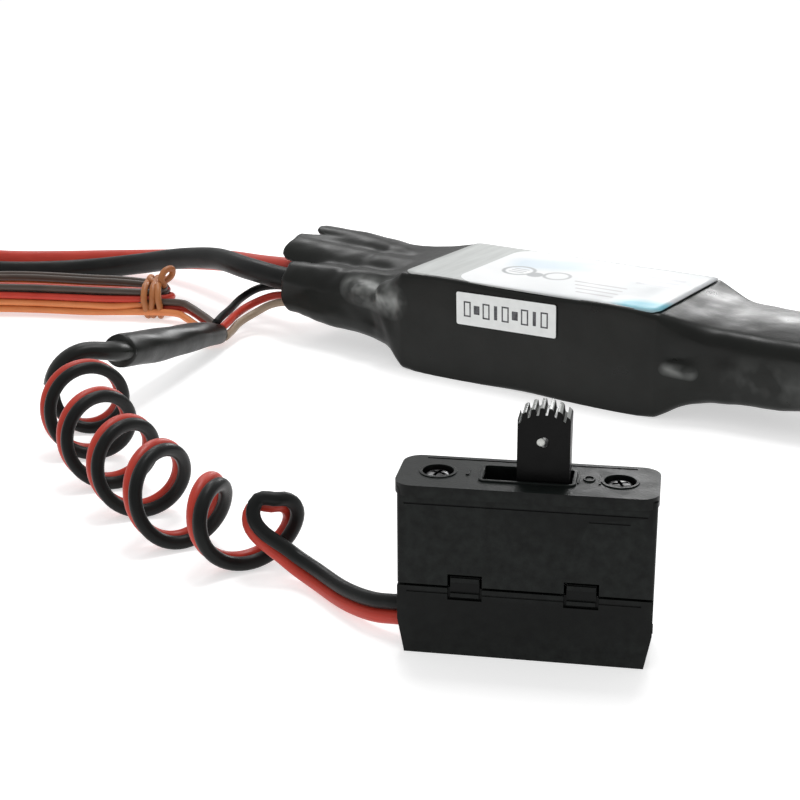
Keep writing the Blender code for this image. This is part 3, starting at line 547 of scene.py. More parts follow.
def coil_line():
    """The line between the two wires of the curly lead, and the side on which the black one lies."""
    turns = np.arange(0.0, COIL[-1][0] + 0.001, 1 / 24)
    x, y, radius, yaw = table_at(COIL, turns)
    angle = 2 * np.pi * turns
    near = radius * np.sin(angle)
    centre = np.stack([x + np.sin(np.radians(yaw)) * near, y - np.cos(np.radians(yaw)) * near,
                       TWIN_WIRE / 2 + radius * (1 + np.cos(angle))], axis=1)
    line = resample(spline(np.vstack([COIL_LEAD_IN, centre, COIL_TAIL]), 6), 0.7)
    at = distances(line)
    past = at - at[-1] + distances(np.array(COIL_TAIL))[-1]
    # the black wire goes from beside the red one to above it, in two steps
    turn = (0.5 * smooth_step((past + 16.0) / 14.0) + 0.5 * smooth_step((past - 4.0) / 12.0))[:, None]
    level = np.array((*placed((0.0, 0.0), math.radians(-27.0), 1.0, 0.0), 0.0))
    hint = level * (1 - turn) + np.array((0.0, 0.0, 1.0)) * turn
    t = unit(np.gradient(line, axis=0))
    return line, unit(hint - t * np.sum(hint * t, axis=1)[:, None])


def make_plain_cords(prefix, node, routes, diameter, step, count):
    """One tube for each coloured route."""
    made = {}
    for colour, route in routes.items():
        line = resample(spline(route), step)
        obj = tube(prefix + colour, line, diameter, colour + "_wire", count)
        made[colour] = (keep(obj, colour + "_wire", node + colour), line)
    return made


def junction_section(share):
    """Section of the junction sleeve: it is fuller in the middle, over the splices."""
    swell = max(0.0, math.sin(math.pi * share)) ** 0.5
    wide = 2.15 + 0.45 * swell + 0.75 * share
    high = 1.95 + 0.50 * swell + 0.70 * share
    ring = []
    for x, y in circle(1.0, 28):
        a = math.atan2(y, x)
        lump = 1 + 0.05 * math.sin(3 * a + 7 * share) * math.sin(9 * share + a)
        ring.append((wide * lump * x, high * lump * y))
    return ring


def junction_tail_section(share):
    """Section of the thinner sleeve over both wires: it widens toward the junction."""
    grow = 1.0 + 0.30 * (1.0 - min(1.0, share / 0.35)) ** 2 - 0.08 * share
    return [(2.35 * grow * x, 1.55 * grow * y) for x, y in circle(1.0, 24)]


def make_junction(coil):
    """The sleeve over the splices, and the thinner sleeve that runs on round the first loop."""
    line = resample(np.array([JUNCTION_WIRES_END, JUNCTION_COIL_END]), 0.9)
    at = np.linspace(0.0, 1.0, len(line))
    line[:, 2] += 0.35 * np.sin(2.0 * np.pi * at) * (1 - at)
    sleeve = sweep("junction_skin", line, junction_section, "heat_shrink")
    tail = sweep("junction_tail", coil[0][10:34], junction_tail_section, "heat_shrink")
    return [keep(sleeve, "heat_shrink", "junction_sleeve"), keep(tail, "heat_shrink")]


def make_switch_cords(coil):
    line, side = coil
    made = []
    for colour, way in (("red", -1), ("black", 1)):
        outside = line + side * way * TWIN_WIRE / 2 * 1.01
        inside = [in_switch(point) for point in TAIL_INSIDE[colour]]
        route = resample(spline(np.vstack([outside, inside]), 4), 0.7)
        obj = tube("switch_cord_" + colour, route, TWIN_WIRE, colour + "_wire", 16)
        made.append((keep(obj, colour + "_wire", "switch_lead_" + colour, "switch_lead_coil"), route))
    return made


# Receiver lead: three wires that run to a folded hank.  Each wire has its place (across, height) in each
# pass of the hank; odd passes run along the front side, away from the controller, and even ones come back.
HANK_TIP = (-84.2, -5.6)
HANK_DIRECTION = math.radians(213.7)
HANK_LENGTH = 62.0
HANK_TURN = 6.4                    # distance of the half turns' centres from the hank's ends
TIE_PLACE = 4.6
SERVO_WIRE = 1.4
HANK_PLACES = {
    "brown": [(3.8, 2.95), (-4.5, 5.95), (3.8, 4.4), (-3.0, 5.75), (4.7, 5.9)],
    "red": [(3.8, 1.5), (-5.2, 3.0), (5.25, 4.4), (-5.2, 4.45), (3.2, 5.75)],
    "orange": [(5.25, 1.5), (-5.2, 1.55), (5.25, 2.95), (-3.7, 4.3), (2.3, 4.2)],
}
RECEIVER_START = {
    "brown": [(-62.6, -22.4, 3.0), (-64.0, -18.6, 3.2), (-67.3, -16.4, 3.4), (-70.9, -14.9, 3.8),
              (-74.7, -13.3, 4.1), (-78.4, -12.0, 4.1)],
    "red": [(-61.6, -22.6, 2.0), (-63.4, -18.0, 1.9), (-67.0, -15.7, 2.0), (-70.8, -14.2, 2.3),
            (-74.6, -12.5, 2.6), (-78.2, -11.4, 2.7)],
    "orange": [(-62.8, -22.8, 1.5), (-64.6, -18.9, 1.4), (-68.0, -17.3, 1.5), (-71.5, -15.9, 1.7),
               (-75.2, -14.3, 2.0), (-78.8, -13.1, 2.1)],
}
SERVO_PLUG_PLACE = (-138.4, -65.2)
SERVO_PLUG_TURN = math.radians(-60.0)
SERVO_PITCH = 2.54


def in_hank(along, across, height):
    """A point of the hank: it lies in a slight curve and is drawn together under the tie."""
    pinch = math.exp(-((along - TIE_PLACE) / 4.5) ** 2)
    fade = min(1.0, max(0.0, (60.0 - along) / 20.0))
    across = across * (1.0 - 0.24 * pinch) + 2.3 * math.cos(math.pi * along / 38.0) * fade
    return (*placed(HANK_TIP, HANK_DIRECTION, along, across), 3.7 + (height - 3.7) * (1.0 - 0.16 * pinch))


def hank_line(places):
    """One wire's line through the hank: passes with small shared waves, joined by half turns."""
    points = []
    far = HANK_LENGTH - HANK_TURN
    last = len(places) - 1
    for index, (across, height) in enumerate(places):
        way = -1.0 if index % 2 else 1.0
        stops = np.linspace(HANK_TURN, far, 9)[::int(way)]
        phase = 1.0 if across > 0 else -1.0
        for k, along in enumerate(stops):
            ease = math.sin(math.pi * k / 8) if 0 < index < last else 0.6
            points.append(in_hank(along, across + 0.28 * math.sin(along / 7.5 + phase) * ease,
                                  height + 0.16 * math.sin(along / 9.0 + 2 * phase) * ease))
        if index == last:
            break
        following, above = places[index + 1]
        radius, middle = (abs(across) + abs(following)) / 2, (across + following) / 2
        for a in (math.pi * k / 6 for k in range(1, 6)):
            points.append(in_hank(stops[-1] + way * radius * math.sin(a) * 0.98,
                                  middle + (across - middle) * math.cos(a),
                                  height + (above - height) * (1 - math.cos(a)) / 2))
    return points[1:]


def make_receiver_cords():
    made = []
    ahead = np.array((*placed((0.0, 0.0), SERVO_PLUG_TURN, 1.0, 0.0), 0.0))
    across = np.array((-ahead[1], ahead[0], 0.0))
    back = np.array((*SERVO_PLUG_PLACE, 1.7)) - ahead * 6.2
    for fan, (colour, places) in zip((-1.0, 0.0, 1.0), HANK_PLACES.items()):
        end = back + across * fan * SERVO_PITCH * 0.62
        plug = back + across * fan * SERVO_PITCH
        out = [in_hank(HANK_LENGTH + 2.0, 0.9 - fan * 1.3, 4.2 - 0.9 * abs(fan)),
               (-141.0 + fan * 1.2, -45.4 + fan * 1.0, 2.4), (-144.0 + fan * 1.6, -50.8, 1.7),
               tuple(end - ahead * 4.2), tuple(plug + ahead * 2.6)]
        route = RECEIVER_START[colour] + hank_line(places)[1:] + out
        line = resample(spline(route, 10), 0.8)
        obj = tube("receiver_cord_" + colour, line, SERVO_WIRE, colour + "_wire", 12)
        keep(obj, "orange_wire" if colour == "brown" else colour + "_wire",
             "receiver_lead_start", "receiver_lead_hank", "receiver_lead_end")
        made.append((obj, line))
    return made


# ---------------------------------------------------------------- connectors and ties
BATTERY_PLUG = (-182.8, -10.0)
BATTERY_ROWS = (-13.5, -6.5)
BATTERY_AXIS = 3.5
BULLET = [(-197.6, 0.0), (-197.6, 1.0), (-197.0, 1.5), (-195.0, 1.58), (-193.0, 1.75), (-191.5, 1.55),
          (-190.9, 1.55), (-190.9, 2.2), (-187.0, 2.2), (-187.0, 0.0)]
CUFF = [(-177.0, 2.2), (-177.0, 2.75), (-175.6, 2.95), (-171.0, 2.85), (-166.5, 2.62), (-165.4, 2.45),
        (-165.0, 2.2)]


def make_battery_plug():
    """A two-way bullet connector housing: a rounded shell, two sockets, cuffs over the wires and pins."""
    outline = [(BATTERY_PLUG[0] + x, BATTERY_PLUG[1] + y) for x, y in rounded_outline(15.0, 15.0, 1.6)]
    body = joined("battery_plug_shell", [prism(outline, 0.0, 7.0)], "plug_plastic")
    sockets = [skin([[(x, a, b) for a, b in circle(2.5, 24, y, BATTERY_AXIS)] for x in (-190.6, -184.6)])
               for y in BATTERY_ROWS]
    grooves = [box((0.8, 10.0, 0.8), (x, -10.0, z)) for x in (-187.4, -185.6, -183.8) for z in (7.0, 0.0)]
    cut(body, sockets + grooves)
    bake(bevel(body, 0.35, 3))
    parts = [keep(body, "plug_plastic", "battery_plug_housing")]
    for number, y in enumerate(BATTERY_ROWS, 1):
        pin = lathe("battery_bullet_%d" % number, BULLET, y, BATTERY_AXIS, "gold")
        cuff = lathe("battery_cuff_%d" % number, CUFF, y, BATTERY_AXIS, "heat_shrink", True)
        for vert in cuff.data.vertices:
            vert.co.z -= max(0.0, vert.co.x + 0.175) * 0.045
        parts += [keep(pin, "gold_plate", "battery_plug_pin_%d" % number), keep(cuff, "heat_shrink")]
    return parts


def make_servo_plug():
    """A three-way servo plug: a slim housing with a chamfered key, latch windows and contact holes."""
    def at(x, y):
        return placed(SERVO_PLUG_PLACE, SERVO_PLUG_TURN, x, y)
    outline = [at(x, y) for x, y in ((7.0, -3.5), (7.0, 3.95), (-7.0, 3.95), (-7.0, -3.95), (6.2, -3.95))]
    plug = joined("servo_plug_shell", [prism(outline, 0.05, 2.95)], "plug_plastic")
    cut(plug, [box(size, (*at(x, row), z), SERVO_PLUG_TURN) for row in (-2.4, 0.0, 2.4) for size, x, z in
               (((2.2, 1.3, 1.2), 0.5, 2.9), ((3.0, 1.1, 1.1), 7.0, 1.5), ((3.0, 1.6, 1.6), -7.0, 1.6))])
    bake(bevel(plug, 0.14))
    return keep(plug, "plug_plastic", "servo_plug")


def make_tie():
    """Three close turns of covered wire round the hank, with the twisted ends on top."""
    ring = rounded_outline(10.9, 6.1, 2.5, 7)
    back = np.array((-math.cos(HANK_DIRECTION), -math.sin(HANK_DIRECTION), 0.0))
    shapes = []
    for turn, (along, lean) in enumerate(((-1.35, 0.30), (0.0, -0.15), (1.35, 0.25))):
        route = np.array([in_hank(TIE_PLACE + along + lean * math.sin(k * 0.13 + turn), across / 0.76,
                                  3.7 + height / 0.84) for k, (across, height) in enumerate(ring)])
        ahead = unit(np.roll(route, -1, axis=0) - np.roll(route, 1, axis=0))
        side = unit(back - ahead * (ahead @ back)[:, None])
        shapes.append(skin([[point + x * a + y * b for x, y in circle(0.66, 12)]
                            for point, a, b in zip(route, side, np.cross(ahead, side))], (), True))
    tie = recalculate(joined("hank_tie_band", shapes, "tie", True))
    knot = [(-2.2, 2.2, 6.6), (-1.6, 2.8, 8.6), (-2.4, 1.6, 10.2), (-3.6, 0.0, 10.0), (-3.4, -0.6, 8.4),
            (-1.6, 0.6, 7.4), (0.4, 1.4, 7.6), (1.0, 0.2, 8.2)]
    route = resample(spline([in_hank(TIE_PLACE + along, across, height) for along, across, height in knot]), 0.5)
    head = tube("hank_tie_ends", route, 1.3, "tie", 12)
    return [keep(tie, "tie_plastic", "hank_tie"), keep(head, "tie_plastic")]


# ---------------------------------------------------------------- heat-shrink sleeve and labels
# Stations, as in the CAD source: distance from the middle, half width, underside, front and back upper
# edge, crown above them, corner radius.
BLOCK = [(0.0, 13.4, 0.0, 18.0, 18.0, 0.0, 1.1), (24.2, 13.4, 0.0, 18.0, 18.0, 0.0, 1.1)]
BATTERY_END = BLOCK + [
    (24.9, 13.4, 0.1, 17.95, 18.0, 0.0, 1.2),
    (26.0, 13.2, 0.6, 17.4, 17.9, 0.0, 1.8), (28.5, 12.4, 2.0, 16.0, 17.6, 0.3, 2.9),
    (32.0, 11.5, 2.9, 14.8, 17.3, 0.6, 3.4), (37.0, 11.0, 3.4, 14.0, 17.3, 0.8, 3.2),
    (45.0, 10.7, 4.1, 13.6, 17.8, 0.9, 2.6), (51.0, 10.4, 4.9, 13.4, 18.1, 0.9, 2.3),
    (54.5, 10.2, 5.3, 13.3, 18.2, 0.9, 2.1),
]
MOTOR_END = BLOCK + [
    (24.9, 13.4, 0.1, 17.95, 17.95, 0.0, 1.2),
    (26.0, 13.2, 0.6, 17.6, 17.6, 0.1, 1.5), (28.5, 12.4, 2.0, 16.7, 16.7, 0.5, 1.9),
    (32.0, 11.4, 2.9, 15.6, 15.6, 1.2, 2.2), (37.0, 10.9, 3.4, 15.2, 15.2, 1.6, 2.2),
    (45.0, 10.7, 4.1, 15.0, 15.0, 1.7, 2.2), (51.0, 10.4, 4.9, 14.8, 14.8, 1.6, 2.1),
    (54.5, 10.2, 5.3, 14.6, 14.6, 1.5, 2.0),
]
SLEEVE_WALL = 0.6
LIP_ROUND = 0.28
CORNER_STEPS = 7
SIDE_STEPS = 12
TOP_STEPS = 34

# Pillows and creases on the two side faces: depth, x and width, z and height, slant
FRONT_FOLDS = [
    (1.15, -29.4, 2.3, 13.4, 1.8, 0.0), (1.05, -35.0, 2.5, 12.4, 1.6, 0.0), (-1.00, -32.2, 0.9, 13.4, 2.0, 0.0),
    (-0.45, -26.6, 0.9, 12.6, 2.8, 0.0), (0.35, -28.5, 1.3, 7.0, 3.4, 0.5), (-0.30, -33.0, 1.2, 8.0, 3.0, 0.3),
    (0.55, 28.4, 1.7, 8.6, 1.1, 0.0), (-0.35, 28.6, 2.0, 10.8, 1.1, 0.0), (0.25, 37.5, 4.0, 9.0, 2.0, 0.0),
]
BACK_FOLDS = [(0.45, -31.0, 1.4, 12.0, 3.2, 0.3), (-0.35, -35.0, 1.4, 9.0, 3.2, 0.3),
              (0.40, 29.5, 1.4, 12.0, 3.2, 0.3), (-0.30, 33.0, 1.4, 8.5, 3.2, 0.3)]
LOW_FOLDS = [(-28.5, 0.2, -0.35), (-32.5, -0.25, 0.30), (28.5, -0.2, -0.35), (32.5, 0.2, 0.30)]


def sleeve_ring(half, bottom, front, back, crown, radius):
    """One section as (y, z) points: front up the back side, over the top, down the front and under."""
    points = []
    for quarter, (side, z) in enumerate([(1, front - radius), (-1, front - radius), (-1, bottom + radius),
                                         (1, bottom + radius)]):
        for step in range(CORNER_STEPS):
            angle = math.pi / 2 * (quarter + step / (CORNER_STEPS - 1))
            points.append((side * (half - radius) + radius * math.cos(angle), z + radius * math.sin(angle)))
    corners = np.array(points).reshape(4, CORNER_STEPS, 2)
    points = []
    for quarter, corner in enumerate(corners):
        count = SIDE_STEPS if quarter % 2 else TOP_STEPS
        share = np.arange(1, count)[:, None] / count
        points += [corner, corner[-1] + (corners[(quarter + 1) % 4][0] - corner[-1]) * share]
    points = np.vstack(points)
    across = points[:, 0] / half
    rise = (back - front) * smooth_step((1 + across) / 2) + crown * np.clip(1 - across ** 2, 0.0, 1.0)
    points[:, 1] += rise * smooth_step((points[:, 1] - bottom - radius) / max(1.0, front - 2 * radius - bottom))
    return points


def hill(value, width):
    return np.exp(-(value / width) ** 2)


def folds(x, z, table):
    return sum(depth * hill(x - place + slant * (z - height), wide) * hill(z - height, tall)
               for depth, place, wide, height, tall, slant in table)


def sleeve_relief(x, y, z):
    """How far the film stands out (mm): ridges over the wires, folds at the shoulders, soft waves."""
    upper = smooth_step((-x - 27.5) / 9.0) * smooth_step((z - 11.0) / 3.0)
    relief = upper * (0.50 * hill(y + 7.2, 1.7) - 0.55 * hill(y + 4.0, 1.3) + 0.30 * hill(y + 0.4, 1.7)
                      - 0.30 * hill(y - 2.4, 1.1) - 0.30 * hill(x + 40.0 - 0.35 * y, 1.6)
                      + 0.45 * hill(y - 5.8, 2.6) * smooth_step((-x - 34.0) / 4.0))
    relief += smooth_step((-y - 8.0) / 2.5) * folds(x, z, FRONT_FOLDS)
    relief += smooth_step((y - 8.0) / 2.5) * folds(x, z, BACK_FOLDS)
    relief -= 0.80 * hill(x + 31.5, 4.6) * hill(y + 9.2, 1.4) * smooth_step((z - 13.2) / 1.2)
    for place, way, depth in LOW_FOLDS:
        relief += smooth_step((6.0 - z) / 3.0) * depth * hill(x - place - way * y, 1.3) * hill(y, 8.0)
    return relief


def sleeve_waves(x, y, z):
    """Slow unevenness of the film: strong on the necks, faint over the flat block."""
    loose = 0.06 + 0.94 * smooth_step((np.abs(x) - 25.5) / 6.0)
    calm = 1.0 - 0.65 * smooth_step((x - 24.0) / 4.0) * smooth_step((z - 11.0) / 3.0)
    waves = [0.30 * noise.noise(Vector((a / 7.0, b / 5.0, c / 4.5)))
             + 0.09 * noise.noise(Vector((a / 2.6 + 9.0, b / 2.3, c / 2.3))) for a, b, c in zip(x, y, z)]
    return loose * calm * np.array(waves)


def shrink_lip(ring, x):
    """Make the lips ragged: the film shrank back unevenly between the leads."""
    share = smooth_step((abs(x) - 47.0) / 7.5)
    y, z = ring[:, 1].copy(), ring[:, 2].copy()
    if x > 0:
        ring[:, 0] -= share * (0.5 + 0.5 * np.sin(y * 0.5 + z * 0.3)) * 0.7
        return
    top = smooth_step((z - 11.5) / 2.0)
    back = (0.5 + 0.5 * np.sin(y * 1.4 + 1.3)) * 0.5 + 1.4 * hill(y + 4.3, 0.9)
    back += 0.9 * smooth_step((9.0 - z) / 3.0)
    lobes = 5.0 * smooth_step((y + 3.9) / 0.9) * smooth_step((4.2 - y) / 0.9) + 2.6 * smooth_step(y - 4.0)
    ring[:, 0] += share * (back - top * lobes)
    ring[:, 2] -= share * top * (1.0 * hill(y + 3.9, 1.1) + 0.6 * hill(y - 4.0, 1.0))


def make_sleeve():
    """A closed film with an outer and an inner skin, joined by a rounded lip at each open end."""
    places = np.concatenate([np.linspace(*span) for span in (
        (-54.5, -46.0, 16), (-45.4, -25.6, 44), (-25.2, -24.0, 6), (-22.0, 22.0, 23), (24.0, 25.2, 6),
        (25.6, 45.4, 40), (46.0, 54.5, 14))])
    rows = []
    for x in places:
        ring = sleeve_ring(*(float(v) for v in table_at(BATTERY_END if x < 0 else MOTOR_END, abs(x))))
        rows.append(np.column_stack([np.full(len(ring), x), ring]))
    grid = np.array(rows)
    around = np.roll(grid, -1, axis=1) - np.roll(grid, 1, axis=1)
    out = np.cross(np.gradient(grid, axis=0), around)
    out /= np.maximum(np.linalg.norm(out, axis=2), 1e-9)[..., None]
    if ((grid - grid.mean(axis=1, keepdims=True)) * out).sum() < 0:
        out = -out
    flat = grid.reshape(-1, 3)
    # the underside stays flat, so that the block stands on it
    under = smooth_step(1.2 - flat[:, 2]) * smooth_step((26.0 - np.abs(flat[:, 0])) / 2.0)
    push = (sleeve_relief(*flat.T) + sleeve_waves(*flat.T)) * (1 - under)
    grid = grid + out * push.reshape(grid.shape[:2])[..., None]
    for ring, x in zip(grid, places):
        shrink_lip(ring, x)
    grid[..., 2] = np.maximum(grid[..., 2], 0.0)
    inner = grid - out * SLEEVE_WALL
    lips = (grid + inner)[[0, -1]] / 2 + np.array([[[-LIP_ROUND, 0.0, 0.0]], [[LIP_ROUND, 0.0, 0.0]]])
    rings = np.array([*grid, lips[1], *inner[::-1], lips[0]])
    rings[..., 0] = np.clip(rings[..., 0], -60.5, 54.9)
    sleeve = recalculate(mesh_object("sleeve_film", skin(rings, (), True), "sleeve"))
    return keep(sleeve, "heat_shrink", "heat_shrink_sleeve")


LABEL_SIZE = (49.2, 25.5)
LABEL_CENTRE = (0.3, -0.2)
LABEL_RINGS = 14
# Printed bars from the bottom layer up: centre, half size, corner radius, softness, colour
LABEL_BARS = [((-7.2, -1.8 + offset), (1.5, 0.24), 0.2, 0.1, (0.50, 0.51, 0.52)) for offset in (-1.1, 0.0, 1.1)]
LABEL_BARS += [((9.5 + 0.6 * row, -3.0 - 2.0 * row), (5.0 - 0.5 * row, 0.28), 0.2, 0.10, (0.44, 0.43, 0.44))
               for row in range(4)]
LABEL_BARS += [((17.5, 6.5 - 2.4 * row), (3.6, 0.5), 0.4, 0.12, (0.48, 0.49, 0.51)) for row in range(3)]


def label_surface():
    """Printed silver film: a white panel with pale generic blocks, a blue wash and a cyan corner."""
    made = Surface("label_film", 0.34, specular=0.09)
    x, y, _ = made.axes()
    silver = made.ramp(made.noise(40.0, 3.0, made.place((20.0, 2.0, 1.0))), (0.47, 0.485, 0.475),
                       (0.56, 0.575, 0.565), (0.3, 0.7))
    white = made.ramp(made.noise(120.0), (0.80, 0.81, 0.815), (0.85, 0.86, 0.865), (0.3, 0.7))
    base = made.mix(made.mask((x, y), (6.0, -0.2), (20.4, 12.5), 4.0), silver, white)
    base = made.mix(made.span(x, 0.0, 0.9, -0.008, 0.018), base, (0.50, 0.52, 0.53))
    wash = made.times(made.mask((x, y), (-3.0, 5.2), (8.5, 3.6), 3.0, 1.6, 0.35), 0.60)
    base = made.mix(wash, base, (0.52, 0.64, 0.74))
    for centre, outer, line in (((-7.2, -1.8), 3.1, 0.65), ((0.4, -1.8), 2.6, 0.60), ((-3.4, -2.9), 1.5, 1.5)):
        ring = made.mask((x, y), centre, (outer, outer), outer, 0.15)
        if line < outer:
            inner = outer - line
            ring = made.math("SUBTRACT", ring, made.mask((x, y), centre, (inner, inner), inner, 0.15))
        base = made.mix(ring, base, (0.42, 0.43, 0.44))
    for centre, half, radius, soft, colour in LABEL_BARS:
        base = made.mix(made.mask((x, y), centre, half, radius, soft), base, colour)
    corner = made.times(made.mask((x, y), (21.6, -10.6), (5.0, 2.6), 2.4, 1.4, 0.1), 0.85)
    base = made.mix(corner, base, (0.12, 0.42, 0.52))
    made.set("Base Color", base)
    made.set("Roughness", made.span(made.noise(300.0), 0.28, 0.42))
    made.bump(made.noise(110.0, 2.0), 0.00010, 0.25)
    return made.material


def on_top(x, y):
    """A point of the label, which follows the sleeve's slightly uneven top and bends over its edges."""
    over = min(1.0, max(0.0, abs(y) - 12.3))
    return x, y, 17.24 + math.sqrt(1.21 - over * over) + 0.05 * noise.noise(Vector((x / 9.0, y / 6.0, 3.0)))


def make_label():
    """The film label: a thin sheet with rounded corners."""
    outline = rounded_outline(*LABEL_SIZE, 1.4, 5)
    shares = [1.0 - k / (LABEL_RINGS + 1) for k in range(LABEL_RINGS + 1)]
    rings = [[on_top(LABEL_CENTRE[0] + x * share, LABEL_CENTRE[1] + y * share) for x, y in outline]
             for share in shares]
    label = mesh_object("label_film", skin(rings, (-1,)), label_surface())
    thick = label.modifiers.new("film", "SOLIDIFY")
    thick.thickness = 0.15 * MM
    thick.offset = -1.0
    return keep(recalculate(bake(label)), "label", "top_label")


def paper_surface():
    made = Surface("sticker_paper", 0.5, specular=0.4)
    made.set("Base Color", made.ramp(made.noise(700.0, 5.0), (0.76, 0.78, 0.77), (0.83, 0.85, 0.84), (0.3, 0.7)))
    made.set("Roughness", made.span(made.noise(900.0), 0.42, 0.60))
    made.bump(made.noise(2500.0, 4.0), 0.00002, 0.5)
    return made.material


def ink_surface():
    made = Surface("sticker_ink", 0.6, specular=0.3)
    ink = made.ramp(made.noise(1500.0, 4.0), (0.045, 0.045, 0.05), (0.13, 0.13, 0.14), (0.35, 0.65))
    made.set("Base Color", ink)
    return made.material


STICKER_CENTRE = (-3.1, 13.7)
STICKER_FACE = -13.62
STICKER_TILT = math.radians(1.2)


def on_sticker(outline, *heights):
    """The shape of an outline on the side sticker's face, between two heights above it."""
    points = [placed(STICKER_CENTRE, STICKER_TILT, x, z) for x, z in outline]
    return skin([[(x, STICKER_FACE - proud, z) for x, z in points] for proud in heights])


def make_sticker():
    """The small paper sticker on the front face, with a row of plain printed frames, blocks and bars."""
    outline = rounded_outline(19.6, 5.8, 0.35, 4)
    paper = mesh_object("sticker_paper", on_sticker(outline, 0.02, 0.14), paper_surface(), False)
    keep(recalculate(paper), "sticker", "side_sticker")
    shapes = []
    wide, tall, line, pitch = 1.15, 2.5, 0.26, 1.9
    for index in range(9):
        strokes = [(wide, line, 0.0, tall / 2), (wide, line, 0.0, -tall / 2),
                   (line, tall + line, -wide / 2, 0.0), (line, tall + line, wide / 2, 0.0)]
        if index % 4 == 3:
            strokes = [(2.4 * line, tall, 0.0, 0.0)]
        elif index % 2 == 1:
            strokes = [(wide, tall * 0.62, 0.0, 0.0)]
        shapes += [on_sticker(rectangle(w, h, pitch * (index - 4) + x, z), 0.125, 0.157)
                   for w, h, x, z in strokes]
    keep(recalculate(joined("sticker_print", shapes, ink_surface())), "sticker")


# ---------------------------------------------------------------- switch box
FLANGE = (30.0, 9.8, 1.4)
FLANGE_TOP = 21.3
BOX_BODY = (29.5, 8.6)
BOX_SHIFT = 0.12
PARTING = (8.55, 8.85)
BOX_SLOT = (10.2, 4.2)
CLIP_X = 6.7
SCREW_X = 10.45
SCREW = [(0.0, 21.16), (0.7, 21.14), (1.2, 21.04), (1.5, 20.86), (1.6, 20.66), (1.6, 20.6), (0.8, 20.6),
         (0.8, 15.4), (0.5, 15.2), (0.0, 15.2)]
LEVER_REST = 1.8
LEVER_HOLE_Z = 26.2


def boxed(shape):
    """A shape of the switch box's own frame, moved into the row frame."""
    return [in_switch(v) for v in shape[0]], shape[1]


def brick(size, centre):
    return boxed(box(size, centre))


def drum(radius, low, high, x):
    return boxed(prism(circle(radius, 32, x), low, high))


def hoop(outer, inner, low, high, x, y=0.0, stretch=1.0):
    """A flat ring round an upright axis."""
    profile = ((outer, low), (outer, high), (inner, high), (inner, low))
    return boxed(skin([[(x + stretch * a, y + b, z) for a, b in circle(r, 28)] for r, z in profile], (), True))


def bead(length, width, radius, thick, low, high, edge=0.16):
    """A raised bead with a chamfered outer edge that follows a rounded rectangle."""
    profile = ((2 * thick, radius + thick, low), (2 * thick, radius + thick, high - edge / 2),
               (2 * thick - edge, radius + thick, high), (0.0, radius, high), (0.0, radius, low))
    return boxed(skin([[(x, y, z) for x, y in rounded_outline(length + grow, width + grow, r)]
                       for grow, r, z in profile], (), True))


def finish(obj, width, slot, *nodes, body="root"):
    recalculate(obj).data.shade_smooth()
    bevel(obj, width).modifiers.new("even", "WEIGHTED_NORMAL").weight = 100
    return keep(bake(obj), slot, *nodes, body=body)


def repaint(obj, material, above):
    """Give the faces that look up and lie above a height their own material: a lighter one that paints the
    highlight falling on those faces.
    """
    obj.data.materials.append(MATERIALS[material])
    for face in obj.data.polygons:
        if face.normal.z > 0.55 and face.center.z > above * MM:
            face.material_index = 1


def make_housing():
    """The upper housing: flange with screw recesses and a slot, and the walls under it."""
    flange = prism(rounded_outline(FLANGE[0], FLANGE[1], 2.2, 8), FLANGE_TOP - FLANGE[2], FLANGE_TOP)
    housing = recalculate(joined("switch_housing_shell", [boxed(flange)], "switch_plastic"))
    walls = [(x + BOX_SHIFT, y) for x, y in rounded_outline(*BOX_BODY, 0.45, 4)]
    cut(housing, [boxed(prism(walls, PARTING[1], FLANGE_TOP - 0.6))], "UNION")
    holes = [brick((BOX_BODY[0] - 2.0, BOX_BODY[1] - 2.0, 10.5), (0.0, 0.0, 13.05)),
             brick((*BOX_SLOT, 6.0), (0.0, 0.0, FLANGE_TOP - 1.0))]
    for side in (-1, 1):
        holes += [drum(1.1, 17.0, 22.0, side * SCREW_X), drum(1.8, 20.2, 22.0, side * SCREW_X),
                  brick((4.0, 12.0, 2.9), (side * CLIP_X, 0.0, 8.85))]
    # a groove along the back of the flange, and fine grooves in both faces just under it
    holes.append(brick((24.6, 0.34, 0.5), (0.0, 4.05, FLANGE_TOP)))
    for face in (-1, 1):
        holes += [brick((27.6, 0.24, 0.22), (0.0, face * BOX_BODY[1] / 2, 18.9)),
                  brick((4.6, 0.20, 0.20), (9.6, face * BOX_BODY[1] / 2, 17.9))]
    cut(housing, holes)
    # the flange's up-facing faces take the lighter colour: a painted highlight
    repaint(finish(housing, 0.16, "switch_plastic", "switch_housing"), "flange_top_painted_highlight", FLANGE_TOP - 0.25)
    marks = [hoop(0.95, 0.62, 21.22, 21.44, 6.95, 0.2, 0.75), brick((0.42, 1.9, 0.3), (-6.95, 0.2, 21.3)),
             bead(BOX_SLOT[0] + 0.1, BOX_SLOT[1] + 0.1, 0.35, 0.42, 21.2, 21.52)]
    marks += [hoop(2.22, 1.84, 21.2, 21.42, side * SCREW_X) for side in (-1, 1)]
    marks += [brick((0.24, 2.9, 0.24), (x, 0.1, 21.3)) for x in (5.75, 8.2)]
    # the marks on the flange top take the same painted-highlight colour
    finish(joined("switch_housing_marks", marks, "flange_top_painted_highlight"), 0.05, "switch_plastic")


